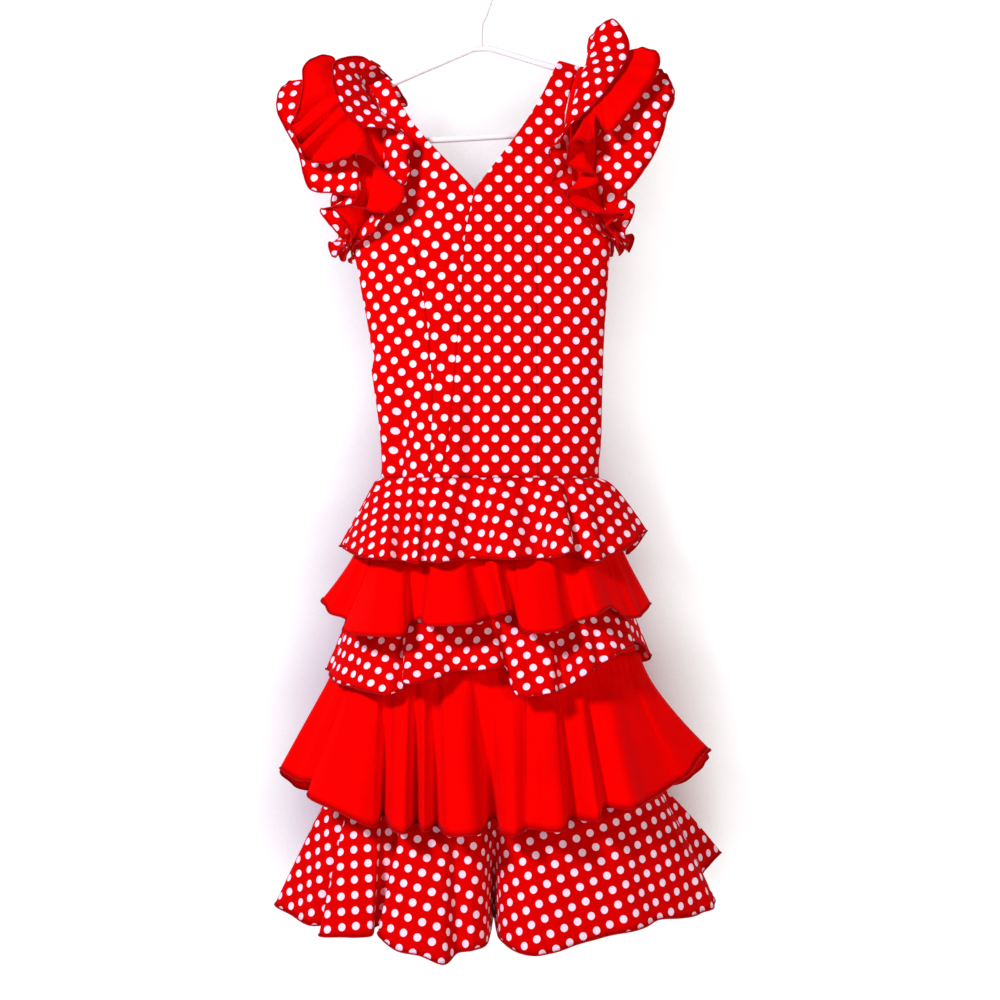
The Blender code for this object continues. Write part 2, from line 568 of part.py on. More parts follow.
def skirt_panel(name, is_front, made_of, collection):
    """Half of the plain tube that carries the flounces, from the hip seam to the lowest flounce."""
    columns, rows = SKIRT_COLUMNS, SKIRT_ROWS
    start, end = (180.0, 360.0) if is_front else (360.0, 540.0)
    top = HIP_SEAM - SEAM_GAP
    grids = []
    for inside in (0.0, WALL):
        grid = []
        for step in range(rows + 1):
            height = mix(SKIRT_END, top, step / rows)
            row = []
            for column in range(columns + 1):
                angle = mix(start + SIDE_GAP, end - SIDE_GAP, column / columns)
                x, y = body_point(angle, height, -inside)
                row.append(hang(x, y, height))
            grid.append(row)
        grids.append(grid)
    return sheet(name, grids[0], grids[1], made_of, collection)


def back_folds(flounce, first_angle):
    """Crests and valleys across the back, as angle, hem x, hem y and drop."""
    count = 2 * flounce.back_pairs
    lines = []
    for number in range(1, count + 1):
        uneven = math.sin(BACK_TURN * number + flounce.seam)
        angle = mix(first_angle, 540.0, (number + BACK_SHIFT * uneven) / (count + 1))
        out = flounce.valley if number % 2 else flounce.crest
        out *= 1.0 + BACK_SWING * uneven
        out = mix(flounce.beside, out, abs(math.sin(math.radians(angle))) ** BESIDE_FADE)
        drop = flounce.drop * (1.0 - BACK_DROP * uneven)
        lines.append((angle, *body_point(angle, flounce.seam - drop, out), drop))
    return lines


def fold_lines(flounce):
    """Every line of folds round one flounce, as angle at the seam, hem x, hem y and drop."""
    lines = []
    for fold in flounce.front_folds:
        angle = angle_at(fold.seam_x, flounce.seam, fold.hem_y < 0.0)
        lines.append((angle, fold.hem_x, fold.hem_y, fold.drop))
    return lines + back_folds(flounce, lines[-1][0])


def flounce_grid(flounce, steps, rows):
    """Rows of points from the hem up to the seam, smooth from one line of folds to the next."""
    lines = fold_lines(flounce)
    count = len(lines)
    ring = []
    for index in range(count):
        near = []
        for offset in (-1, 0, 1, 2):
            whole, place = divmod(index + offset, count)
            angle, *rest = lines[place]
            near.append((angle + 360.0 * whole, *rest))
        for step in range(steps):
            share = step / steps
            line = [spline(a, b, c, d, share) for a, b, c, d in zip(*near)]
            hollow = abs(near[0][2] + near[3][2]) / 2 - abs(line[2])
            ring.append((*line, 1.0 + VALLEY_HOLD * min(max(hollow / VALLEY_DEEP, 0.0), 1.0)))
    grid = []
    for row in range(rows + 1):
        down = 1.0 - row / rows
        points = []
        for angle, hem_x, hem_y, drop, hold in ring:
            top_x, top_y = body_point(angle, flounce.seam, OVER)
            aside = (1.0 + math.cos(math.radians(angle))) / 2
            out = down ** mix(flounce.opens_right, flounce.opens_left, aside)
            points.append(hang(mix(top_x, hem_x, out), mix(top_y, hem_y, out ** hold),
                               flounce.seam - drop * down))
        grid.append(points)
    return grid


def armhole_point(side, place):
    """A point on the armhole's edge, on the bodice's outer face."""
    height = armhole_height(place)
    x = armhole_x(side, height)
    if height > ARMHOLE_MIDDLE:
        height = shoulder_top(x) - (ARMHOLE_TOP - height)
    is_front = math.cos(math.radians(place)) > 0.0
    return bodice_point(x, height, is_front)


def cap_point(side, place, along, out):
    """A point round the sleeve's cap: `place` in degrees, `along` from the armhole to the sleeve's edge."""
    sine = math.sin(math.radians(place))
    length = CAP_UNDER + (CAP_TOP - CAP_UNDER) * ((1.0 + sine) / 2) ** CAP_SWELL
    ahead, behind = armhole_point(side, place + 2.0), armhole_point(side, place - 2.0)
    normal = Vector((0.0, behind.z - ahead.z, ahead.y - behind.y)).normalized()
    point = armhole_point(side, place)
    point.y *= 1.0 - CAP_TAPER * along
    point.z -= CAP_DROOP * length * along * max(sine, 0.0) * MM
    point.x += side * (4 * SEAM_GAP + length * along) * MM
    return point + normal * out * MM


def cap_places():
    front = UNDERARM_PLACES[:0:-1] + STRAP_PLACES
    return front + tuple(180 - place for place in front[-2:0:-1])


def sleeve_cap(name, side, made_of, collection):
    """The short sleeve itself, a flattened tube that the ruffles are sewn on."""
    grid = []
    for row in range(CAP_ROWS + 1):
        points = [cap_point(side, place, row / CAP_ROWS, 0.0) for place in cap_places()]
        grid.append(points if side < 0 else points[::-1])
    return surface(name, grid, made_of, collection)


def back_petals(ruffle):
    """The back of a ruffle: even folds from the shoulder down to the underarm."""
    first, last = ruffle.petals[-1].place, 360.0 + ruffle.petals[0].place
    made = []
    for number in range(1, BACK_PETALS + 1):
        place = mix(first, last, number / (BACK_PETALS + 1))
        turn = math.radians(ruffle.back_turn + BACK_TURN_SWING * (-1) ** number)
        way = Vector((ruffle.side * math.cos(turn), -math.cos(math.radians(place)) * math.sin(turn),
                      math.sin(math.radians(place)) * math.sin(turn)))
        reach = mix(BACK_REACH_UNDER, BACK_REACH, smooth((last - place) / BACK_FADE))
        spot = cap_point(ruffle.side, place, ruffle.along, RUFFLE_OVER) / MM + way * reach
        made.append(Petal(place, spot.x, spot.z, spot.y))
    return made


def ruffle_grid(ruffle, steps, rows):
    """Rows of points from a ruffle's seam to its edge, smooth from one line of a fold to the next."""
    petals = list(ruffle.petals) + back_petals(ruffle)
    grid = [[] for _ in range(rows + 1)]
    for index in range(len(petals)):
        near = []
        for offset in (-1, 0, 1, 2):
            whole, spot = divmod(index + offset, len(petals))
            place, *edge = petals[spot]
            near.append((place + 360.0 * whole, *edge))
        for step in range(steps):
            place, x, height, y = [spline(a, b, c, d, step / steps) for a, b, c, d in zip(*near)]
            start = cap_point(ruffle.side, place, ruffle.along, RUFFLE_OVER)
            hem = Vector((x, y, height)) * MM
            sine = math.sin(math.radians(place))
            upward = sine * abs(sine) ** RUFFLE_UPRIGHT
            straight = Vector((0.0, -math.cos(math.radians(place)), upward)).normalized()
            middle = start + straight * min((hem - start).length * RUFFLE_RISE, RUFFLE_RISE_MOST * MM)
            for row in range(rows + 1):
                down = row / rows
                grid[row].append(start.lerp(middle, down).lerp(middle.lerp(hem, down), down))
    return grid


def plain_mesh(source):
    """A curve or a stack of modifiers turned to one welded mesh object."""
    name = source.name
    evaluated = source.evaluated_get(bpy.context.evaluated_depsgraph_get())
    mesh = bpy.data.meshes.new_from_object(evaluated)
    form = bmesh.new()
    form.from_mesh(mesh)
    bmesh.ops.remove_doubles(form, verts=form.verts, dist=0.00001)
    form.to_mesh(mesh)
    form.free()
    made = bpy.data.objects.new(name + "_mesh", mesh)
    made.matrix_world = source.matrix_world
    for collection in source.users_collection:
        collection.objects.link(made)
    bpy.data.objects.remove(source)
    made.name = name
    return made


def tube(name, points, radius, closed, made_of, collection):
    """A round tube along a route of points."""
    curve = bpy.data.curves.new(name, "CURVE")
    curve.dimensions = "3D"
    curve.bevel_depth = radius * MM
    curve.bevel_resolution = 2
    curve.use_fill_caps = not closed
    route = curve.splines.new("POLY")
    route.points.add(len(points) - 1)
    for spot, point in zip(route.points, points):
        spot.co = (*point, 1.0)
    route.use_cyclic_u = closed
    made = bpy.data.objects.new(name, curve)
    curve.materials.append(made_of)
    collection.objects.link(made)
    bpy.context.view_layer.update()
    return plain_mesh(made)


def join(body, *others):
    """Fuse pieces of one moulding into a single solid."""
    for number, other in enumerate(others):
        union = body.modifiers.new("join_%d" % number, "BOOLEAN")
        union.operation = "UNION"
        union.solver = "EXACT"
        union.object = other
    bpy.context.view_layer.update()
    made = plain_mesh(body)
    for other in others:
        bpy.data.objects.remove(other)
    return made


def hanger_frame_route():
    """The closed route of the hanger's tube: two sloping arms, two round ends and a straight bar."""
    slope = math.atan(ARM_SLOPE)
    centre_x, centre_z = BAR_HALF, BAR_HEIGHT + END_RADIUS
    points = []
    for step in range(END_STEPS + 1):
        turn = math.radians(-90.0) + step / END_STEPS * (math.radians(180.0) - slope)
        points.append((centre_x + END_RADIUS * math.cos(turn), centre_z + END_RADIUS * math.sin(turn)))
    end_x, end_z = points[-1]
    lift = end_z + ARM_SLOPE * end_x
    points += [(end_x * share, lift - ARM_SLOPE * end_x * share) for share in ARM_SHARES]
    points += [(-x, z) for x, z in reversed(points)]
    points += [(-BAR_MIDDLE, BAR_HEIGHT), (BAR_MIDDLE, BAR_HEIGHT)]
    return [hang(x, 0.0, z) for x, z in points]


def hook_route():
    """The hook: a short stem that swings into an arc open on one side."""
    centre = -(HOOK_RADIUS - HOOK_WIRE)
    points = [(x, ARM_PEAK + over) for x, over in HOOK_STEM]
    for step in range(HOOK_STEPS + 1):
        turn = math.radians(HOOK_START + step / HOOK_STEPS * HOOK_SWEEP)
        points.append((HOOK_RADIUS * math.cos(turn), centre + HOOK_RADIUS * math.sin(turn)))
    return [Vector((x, 0.0, z)) * MM for x, z in points]


def hanger(made_of, collection):
    frame = tube("hanger", hanger_frame_route(), TUBE_RADIUS, True, made_of, collection)
    hook = tube("hook", hook_route(), HOOK_WIRE, False, made_of, collection)
    return join(frame, hook)


def block(name, size, centre, made_of, collection):
    """A box from its size and centre in millimetres."""
    mesh = bpy.data.meshes.new(name)
    form = bmesh.new()
    bmesh.ops.create_cube(form, size=1.0)
    for vert in form.verts:
        vert.co = Vector([centre[i] + vert.co[i] * size[i] for i in range(3)]) * MM
    form.to_mesh(mesh)
    form.free()
    mesh.materials.append(made_of)
    made = bpy.data.objects.new(name, mesh)
    collection.objects.link(made)
    return made


def zip_pull_place():
    """The hinge of the zip's pull, on the centre-back seam just under the neckline's point."""
    height = BACK_V_POINT - ZIP_DROP
    x = seam_x(CENTRE_BACK, height)
    spot = bodice_point(x, height, False) / MM
    return Vector((spot.x, spot.y + ZIP_CLEAR + SLIDER_DEPTH + HINGE_OUT, spot.z))


def zip_slider(made_of, collection):
    """The slider: a plate with a small bridge that holds the pull's bar."""
    hinge = zip_pull_place()
    face = hinge.y - HINGE_OUT
    plate = block("zip_slider", (SLIDER_WIDTH, SLIDER_DEPTH, SLIDER_HEIGHT),
                  (hinge.x, face - SLIDER_DEPTH / 2, hinge.z), made_of, collection)
    rise = HINGE_OUT + BRIDGE_ROOM + BRIDGE_ROOF
    parts = [block("roof", (BRIDGE_WIDTH, BRIDGE_ROOF, 2 * (BRIDGE_ROOM + BRIDGE_POST)),
                   (hinge.x, hinge.y + BRIDGE_ROOM + BRIDGE_ROOF / 2, hinge.z), made_of, collection)]
    for side in (-1, 1):
        parts.append(block("post", (BRIDGE_WIDTH, rise, BRIDGE_POST),
                           (hinge.x, face + rise / 2 - SEAM_GAP / 2,
                            hinge.z + side * (BRIDGE_ROOM + BRIDGE_POST / 2)), made_of, collection))
    return join(plate, *parts)


def zip_pull(made_of, collection):
    """The pull tab: a flat drop with a window under its bar, its origin on the hinge's axis."""
    curve = bpy.data.curves.new("zip_pull", "CURVE")
    curve.dimensions = "2D"
    curve.fill_mode = "BOTH"
    curve.extrude = TAB_HALF_BAR * MM
    wide = TAB_WIDTH / 2
    foot = [(wide * math.cos(math.radians(a)), -TAB_LENGTH + wide + wide * math.sin(math.radians(a)))
            for a in range(180, 361, 20)]
    outline = [(wide, TAB_HALF_BAR), (-wide, TAB_HALF_BAR)] + foot
    half = TAB_WINDOW / 2
    window = [(-half, -TAB_HALF_BAR), (half, -TAB_HALF_BAR), (half, TAB_WINDOW_END), (-half, TAB_WINDOW_END)]
    for shape in (outline, window):
        route = curve.splines.new("POLY")
        route.points.add(len(shape) - 1)
        for spot, (x, z) in zip(route.points, shape):
            spot.co = (x * MM, z * MM, 0.0, 1.0)
        route.use_cyclic_u = True
    curve.materials.append(made_of)
    made = bpy.data.objects.new("zip_pull", curve)
    collection.objects.link(made)
    made.rotation_euler = (math.radians(90.0), 0.0, 0.0)
    made.location = zip_pull_place() * MM
    bpy.context.view_layer.update()
    return plain_mesh(made)


def main():
    for old in list(bpy.data.objects):
        bpy.data.objects.remove(old)
    collection = bpy.data.collections.new(OBJECT_NAME)
    bpy.context.scene.collection.children.link(collection)

    dotted = material("dotted_cloth", DOT_RED, 0.6)
    plain = material("plain_red_cloth", PLAIN_RED, 0.6)
    plastic = material("white_plastic", WHITE_PLASTIC, 0.35)
    painted = material("red_painted_zinc", PAINTED_RED, 0.35, 0.2)

    hanger(plastic, collection)
    for side, word, front, back, columns in ((-1, "right", PRINCESS_RIGHT, BACK_PRINCESS_RIGHT, 4),
                                             (1, "left", PRINCESS_LEFT, BACK_PRINCESS_LEFT, 7)):
        centre_panel("front_centre_" + word, side, True, CENTRE_FRONT, front, columns, dotted, collection)
        centre_panel("back_centre_" + word, side, False, CENTRE_BACK, back, 5, dotted, collection)
        side_panel("front_side_" + word, side, True, front, dotted, collection)
        side_panel("back_side_" + word, side, False, back, dotted, collection)
        sleeve_cap("sleeve_cap_" + word, side, plain, collection)
    skirt_panel("skirt_front", True, plain, collection)
    skirt_panel("skirt_back", False, plain, collection)
    for flounce in FLOUNCES:
        made_of = dotted if "dotted" in flounce.name else plain
        surface(flounce.name, flounce_grid(flounce, STEPS, flounce.rows), made_of, collection)
    for ruffle in RUFFLES:
        made_of = dotted if "dotted" in ruffle.name else plain
        grid = ruffle_grid(ruffle, PETAL_STEPS, RUFFLE_ROWS)
        if ruffle.side > 0:
            grid = [row[::-1] for row in grid]
        surface(ruffle.name, grid, made_of, collection)
    zip_slider(painted, collection)
    zip_pull(painted, collection)


main()
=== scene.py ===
# %% [markdown]
# # A flamenco dress on its hanger
#
# The real dress is cut from stretch crepe, one printed with dots and one plain. Eight close panels make
# the bodice, five gathered flounces go round the skirt, and three ruffles go round each short sleeve. The
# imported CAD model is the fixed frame: every sheet here is sampled more finely from the same tables of
# seams and folds, so it lies on its solid, and then gets its gathers, its rolled hem and its cloth.

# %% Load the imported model
import math
from collections import namedtuple
from functools import lru_cache

import bmesh
import bpy
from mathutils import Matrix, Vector


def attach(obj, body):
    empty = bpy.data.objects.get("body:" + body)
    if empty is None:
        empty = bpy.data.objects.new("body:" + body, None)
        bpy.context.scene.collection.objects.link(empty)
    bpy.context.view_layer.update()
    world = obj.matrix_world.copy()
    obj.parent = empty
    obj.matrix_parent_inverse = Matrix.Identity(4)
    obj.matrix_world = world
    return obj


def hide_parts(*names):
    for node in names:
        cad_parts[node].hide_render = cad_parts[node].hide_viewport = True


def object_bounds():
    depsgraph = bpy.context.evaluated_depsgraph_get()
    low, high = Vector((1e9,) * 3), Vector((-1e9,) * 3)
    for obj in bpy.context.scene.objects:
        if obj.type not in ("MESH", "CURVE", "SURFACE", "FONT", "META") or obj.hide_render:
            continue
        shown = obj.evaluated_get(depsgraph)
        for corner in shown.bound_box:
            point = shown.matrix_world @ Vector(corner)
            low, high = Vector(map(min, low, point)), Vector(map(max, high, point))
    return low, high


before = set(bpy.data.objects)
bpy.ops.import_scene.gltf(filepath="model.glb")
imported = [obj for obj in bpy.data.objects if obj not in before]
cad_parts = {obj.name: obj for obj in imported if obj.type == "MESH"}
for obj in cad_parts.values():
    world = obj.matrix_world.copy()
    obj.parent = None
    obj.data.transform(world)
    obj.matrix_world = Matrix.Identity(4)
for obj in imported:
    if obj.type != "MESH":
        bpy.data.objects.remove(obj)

cad_low, cad_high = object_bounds()
MM = 0.001
print("CAD box in mm:", [round(v / MM) for v in cad_low], [round(v / MM) for v in cad_high])

# %% [markdown]
# ## Camera
#
# The dress is seen straight from the front, at the height of its middle. The lens could be set by eye, but
# it follows from two things that can be measured: the camera's distance, and the millimetres of the dress
# that one pixel shows.

# %% Camera
IMAGE_SIDE = 1000
MM_PER_PIXEL = 1.48        # at the hanger's own plane, Y = 0
CAMERA_DISTANCE = 2000.0   # millimetres in front of that plane
CAMERA_X, CAMERA_Z = 28.1, -784.4
SENSOR = 36.0

camera_data = bpy.data.cameras.new("camera")
camera_data.sensor_width = SENSOR
camera_data.lens = SENSOR * CAMERA_DISTANCE / (IMAGE_SIDE * MM_PER_PIXEL)
camera_data.clip_start, camera_data.clip_end = 0.05, 50.0
camera = bpy.data.objects.new("camera", camera_data)
camera.location = (CAMERA_X * MM, -CAMERA_DISTANCE * MM, CAMERA_Z * MM)
camera.rotation_euler = (math.radians(90.0), 0.0, 0.0)
bpy.context.scene.collection.objects.link(camera)
bpy.context.scene.camera = camera
bpy.context.scene.view_settings.view_transform = "Standard"
print("lens in mm:", round(camera_data.lens, 2))

# %% [markdown]
# ## Colours and nodes
#
# A cloth or paint colour is noted as an sRGB hex value, as a dyer's colour card does, but Blender's
# shaders reckon in linear light, so one function turns the first into the second. A shader could be wired
# by hand in the editor; here it is written out, and short helpers make a node with its values and links.

# %% Colours and nodes
def linear(code):
    """An sRGB hex value as linear red, green, blue and alpha."""
    parts = [int(code[i:i + 2], 16) / 255 for i in (0, 2, 4)]
    return tuple(v / 12.92 if v <= 0.04045 else ((v + 0.055) / 1.055) ** 2.4 for v in parts) + (1.0,)


def node(tree, kind, links=(), settings=(), **values):
    """One node with its settings, its socket values by name, and its links as (socket, source output)."""
    made = tree.nodes.new(kind)
    for name, value in dict(settings).items():
        setattr(made, name, value)
    for name, value in values.items():
        made.inputs[int(name[1:]) if name[1:].isdigit() else name.replace("_", " ")].default_value = value
    for socket, source in dict(links).items():
        tree.links.new(source, made.inputs[socket])
    return made


def blend(tree, factor, low, high):
    """A colour between two others, each given as a hex value or as a node's output."""
    made = node(tree, "ShaderNodeMix", {"Factor": factor}, {"data_type": "RGBA"})
    for socket, colour in ((6, low), (7, high)):
        if isinstance(colour, str):
            made.inputs[socket].default_value = linear(colour)
        else:
            tree.links.new(colour, made.inputs[socket])
    return made.outputs[2]


def ramp(tree, value, start, end, low=0.0, high=1.0):
    """The value turned from the range start to end into the range low to high."""
    return node(tree, "ShaderNodeMapRange", {"Value": value},
                From_Min=start, From_Max=end, To_Min=low, To_Max=high).outputs["Result"]


def new_material(name, **values):
    """A material with its shader's inputs set by name."""
    made = bpy.data.materials.new(name)
    made.use_nodes = True
    tree = made.node_tree
    shader = tree.nodes["Principled BSDF"]
    for socket, value in values.items():
        shader.inputs[socket.replace("_", " ")].default_value = value
    return made, tree, shader

# %% [markdown]
# ## Wall, floor and lights
#
# The dress hangs in front of a pale wall. Two soft lights stand either side of the camera: a strong cool
# one on the left, which shades the folds, and a weak warm one on the right. The wall is a light box, so
# the only shadow on it is close to the dress's outline, cool on its left and warmer on its right; it is a
# painted shadow in the wall's glow colour, and an ambient occlusion node finds that place without one more
# light. The wall is open from behind, so that the back can be looked at as well, and a broad light behind
# it is for that side alone.

# %% Wall, floor and lights
STUDIO_SIDE = 12.0
WALL_GAP = 0.012           # from the back flounces to the wall
FLOOR_DROP = 0.42          # the floor is under the camera's view
WALL_WHITE = "F4F2F6"
WALL_GLOW = 0.96
WALL_DULL = "6C696C"       # the light box's own face takes up most of the lights' shadows
# The halo is a painted shadow: close to the dress the wall's glow colour turns from white to these tints.
PAINTED_SHADOW_REACH = 0.2           # close to the dress the box is hidden, as far off as this
MATT = 0.9                 # roughness of wall and floor
PAINTED_SHADOW_RAYS = 16
PAINTED_SHADOW_DEEP, PAINTED_SHADOW_CLEAR = 0.45, 0.93   # share of open space where the halo is full, and where it ends
PAINTED_SHADOW_COOL, PAINTED_SHADOW_WARM = "9A769E", "94726E"   # its colour on the left and on the right
PAINTED_SHADOW_LEFT, PAINTED_SHADOW_RIGHT = -0.3, 0.35   # and where across the wall these are reached
SKY_TINT, SKY_STRENGTH = "ECE6FF", 0.05
AIM = Vector((0.0, 0.0, -0.8))

Light = namedtuple("Light", "name place side power tint")
LIGHTS = (
    Light("key_light", Vector((-1.15, -1.9, 0.2)), 0.42, 56.0, "F3EEFF"),
    Light("fill_light", Vector((0.9, -2.0, -0.6)), 0.5, 12.0, "FFF1E4"),
    Light("back_light", Vector((0.6, 2.6, -0.3)), 1.6, 40.0, "FFFFFF"),
)


def studio_plane(name, corners, made_of):
    mesh = bpy.data.meshes.new(name)
    mesh.from_pydata(corners, [], [(0, 1, 2, 3)])
    mesh.materials.append(made_of)
    made = bpy.data.objects.new(name, mesh)
    bpy.context.scene.collection.objects.link(made)


def wall_material():
    """A light box with a painted shadow in its glow round whatever hides it, and open when seen from
    behind.
    """
    made, tree, shader = new_material("lit_wall_with_painted_shadow_open_behind", Roughness=MATT, Specular_IOR_Level=0.0,
                                      Base_Color=linear(WALL_DULL), Emission_Strength=WALL_GLOW)
    # Painted shadow: the glow colour darkens to a cool or warm tint where the occlusion finds the dress
    # close by.
    hidden = node(tree, "ShaderNodeAmbientOcclusion", settings={"samples": PAINTED_SHADOW_RAYS}, Distance=PAINTED_SHADOW_REACH)
    spot = node(tree, "ShaderNodeTexCoord")
    across = node(tree, "ShaderNodeSeparateXYZ", {"Vector": spot.outputs["Object"]})
    painted_shadow_tint = blend(tree, ramp(tree, across.outputs["X"], PAINTED_SHADOW_LEFT, PAINTED_SHADOW_RIGHT), PAINTED_SHADOW_COOL, PAINTED_SHADOW_WARM)
    glow_with_painted_shadow = blend(tree, ramp(tree, hidden.outputs["AO"], PAINTED_SHADOW_DEEP, PAINTED_SHADOW_CLEAR), painted_shadow_tint, "FFFFFF")
    tree.links.new(glow_with_painted_shadow, shader.inputs["Emission Color"])
    clear = node(tree, "ShaderNodeBsdfTransparent")
    facing = node(tree, "ShaderNodeNewGeometry")
    both = node(tree, "ShaderNodeMixShader", {0: facing.outputs["Backfacing"], 1: shader.outputs[0],
                                              2: clear.outputs[0]})
    tree.links.new(both.outputs[0], tree.nodes["Material Output"].inputs["Surface"])
    return made


half = STUDIO_SIDE / 2
wall_y = cad_high.y + WALL_GAP
floor_z = cad_low.z - FLOOR_DROP
paint = new_material("matt_wall_paint", Base_Color=linear(WALL_WHITE), Roughness=MATT)[0]
studio_plane("floor", [(-half, -half, floor_z), (half, -half, floor_z),
                       (half, half, floor_z), (-half, half, floor_z)], paint)
studio_plane("wall", [(-half, wall_y, floor_z), (half, wall_y, floor_z),
                      (half, wall_y, half), (-half, wall_y, half)], wall_material())
for light in LIGHTS:
    data = bpy.data.lights.new(light.name, "AREA")
    data.shape, data.size, data.energy = "DISK", light.side, light.power
    data.color = linear(light.tint)[:3]
    lamp = bpy.data.objects.new(light.name, data)
    lamp.location = light.place
    lamp.rotation_euler = (AIM - light.place).to_track_quat("-Z", "Y").to_euler()
    bpy.context.scene.collection.objects.link(lamp)
world = bpy.data.worlds.new("studio")
bpy.context.scene.world = world
world.use_nodes = True
sky = world.node_tree.nodes["Background"]
sky.inputs["Color"].default_value = linear(SKY_TINT)
sky.inputs["Strength"].default_value = SKY_STRENGTH
print("wall at y =", round(wall_y, 3), "floor at z =", round(floor_z, 3))

# %% [markdown]
# ## Stretch crepe, printed and plain
#
# Crepe is woven from hard-twisted polyester thread, so its face is matt and finely pebbled, with a weak
# sheen at grazing angles. The print is white dots of 10 mm in rows 29 mm apart, with one more dot between
# every four. The dots could be an image, but a rule is sharper: the cut of every piece is unrolled flat
# into its UV map, in metres, and the distance to the nearest point of two square lattices gives the dots.
# They turn and bend with the cloth as a real print does.

# %% Crepe
DOT_PITCH = 0.029
DOT_RADIUS = 0.0052
DOT_EDGE = 0.00022         # the ink's soft edge
PEBBLE = 0.0013            # real crepe pebbles are 0.4 mm; these are drawn three times as coarse, to show
THREAD_STEP = 0.0009       # threads are 0.3 mm apart and are drawn as coarse too
SHADE_PATCH = 0.06         # size of the faint patches in the dye
PRINT_RED = "DA0000"       # the ground between the dots is printed, and a little deeper than the plain dye
PLAIN_RED = "F20000"
# The deeper red is used for random patches in the dye, and also for painted shade at seams and hems.
CREPE_DEEP = "A80000"
DOT_WHITE = "FFE6F4"
SHEEN_ROSE = "FF9FD0"
WORN = (0.35, 0.7, 0.0, 0.12)   # patches between these noise values show from nothing to this much
CREPE_ROUGH = (0.66, 0.86)
CREPE_RELIEF = (0.25, 0.00012)
THREAD_WAVER = 0.6
WAVE_PERIOD = 2 * math.pi / 20    # a wave texture's bands at scale 1


def dots(tree, place):
    """How much of the dots' ink lies here: 1 inside a dot, 0 outside, soft at its edge."""
    scaled = node(tree, "ShaderNodeVectorMath", {0: place}, {"operation": "SCALE"}, Scale=1 / DOT_PITCH)
    distances = []
    for shift in (0.0, 0.5):
        from_dot = scaled.outputs[0]
        for operation, amount in (("ADD", shift), ("FRACTION", 0.0), ("SUBTRACT", 0.5)):
            from_dot = node(tree, "ShaderNodeVectorMath", {0: from_dot}, {"operation": operation},
                            _1=(amount, amount, 0.0)).outputs[0]
        distances.append(node(tree, "ShaderNodeVectorMath", {0: from_dot},
                              {"operation": "LENGTH"}).outputs["Value"])
    nearest = node(tree, "ShaderNodeMath", {0: distances[0], 1: distances[1]}, {"operation": "MINIMUM"})
    return node(tree, "ShaderNodeMapRange", {"Value": nearest.outputs[0]},
                {"interpolation_type": "SMOOTHSTEP"}, To_Min=1.0, To_Max=0.0,
                From_Min=(DOT_RADIUS - DOT_EDGE) / DOT_PITCH,
                From_Max=(DOT_RADIUS + DOT_EDGE) / DOT_PITCH).outputs["Result"]


def noise(tree, place, scale, detail):
    return node(tree, "ShaderNodeTexNoise", {"Vector": place}, Scale=scale, Detail=detail).outputs["Fac"]


def roughen(tree, shader, height, strength, distance):
    bump = node(tree, "ShaderNodeBump", {"Height": height}, Strength=strength, Distance=distance)
    tree.links.new(bump.outputs["Normal"], shader.inputs["Normal"])


def crepe(name, dotted):
    made, tree, shader = new_material(name, Specular_IOR_Level=0.01, Sheen_Weight=0.015,
                                      Sheen_Roughness=0.45, Sheen_Tint=linear(SHEEN_ROSE))
    cut = node(tree, "ShaderNodeUVMap", settings={"uv_map": "cut"}).outputs["UV"]
    place = node(tree, "ShaderNodeTexCoord").outputs["Object"]
    # The red deepens in random patches of the dye, and by the edge value: doubled cloth at seams and hems,
    # together with painted shade in the seams' valleys and under the turned hems.
    edge = node(tree, "ShaderNodeAttribute", settings={"attribute_name": "edge"})
    worn = ramp(tree, noise(tree, place, 1 / SHADE_PATCH, 3.0), *WORN)
    deeper_red_with_painted_shade = node(tree, "ShaderNodeMath", {0: edge.outputs["Fac"], 1: worn}, {"operation": "MAXIMUM"})
    colour = blend(tree, deeper_red_with_painted_shade.outputs[0], PRINT_RED if dotted else PLAIN_RED, CREPE_DEEP)
    if dotted:
        colour = blend(tree, dots(tree, cut), colour, DOT_WHITE)
    tree.links.new(colour, shader.inputs["Base Color"])

    height = noise(tree, cut, 1 / PEBBLE, 2.0)
    tree.links.new(ramp(tree, height, 0.0, 1.0, *CREPE_ROUGH), shader.inputs["Roughness"])
    for way in ("X", "Y"):
        threads = node(tree, "ShaderNodeTexWave", {"Vector": cut},
                       {"bands_direction": way}, Scale=WAVE_PERIOD / THREAD_STEP, Distortion=THREAD_WAVER)
        height = node(tree, "ShaderNodeMath", {0: height, 1: threads.outputs["Fac"]},
                      {"operation": "ADD"}).outputs[0]
    roughen(tree, shader, height, *CREPE_RELIEF)
    return made


dotted_crepe = crepe("printed_stretch_crepe", True)
plain_crepe = crepe("plain_stretch_crepe", False)

# %% [markdown]
# ## Thread, plastic and enamel
#
# The rolled hems are sewn over with polyester thread of a darker red, glossier than the cloth and broken
# up by its plies. The hanger is moulded polypropylene: satin white, with a faint orange-peel surface and
# slight yellowing in patches. The zip's slider and pull are die-cast zinc under red enamel, smooth and
# glossy, rubbed darker where they touch. One function makes all three: the tone and the roughness follow
# patches, and a grain gives the relief.

# %% Thread, plastic and enamel
THREAD_PLY = 0.0004        # pitch of the thread's twist


def hard_material(name, tones, patches, worn, rough, grain, relief, **values):
    """`patches` and `grain` are a noise's scale and detail; `relief` is its strength and depth."""
    made, tree, shader = new_material(name, **values)
    place = node(tree, "ShaderNodeTexCoord").outputs["Object"]
    share = ramp(tree, noise(tree, place, *patches), *worn)
    tree.links.new(blend(tree, share, *tones), shader.inputs["Base Color"])
    tree.links.new(ramp(tree, share, 0.0, 1.0, *rough), shader.inputs["Roughness"])
    roughen(tree, shader, noise(tree, place, *grain), *relief)
    return made


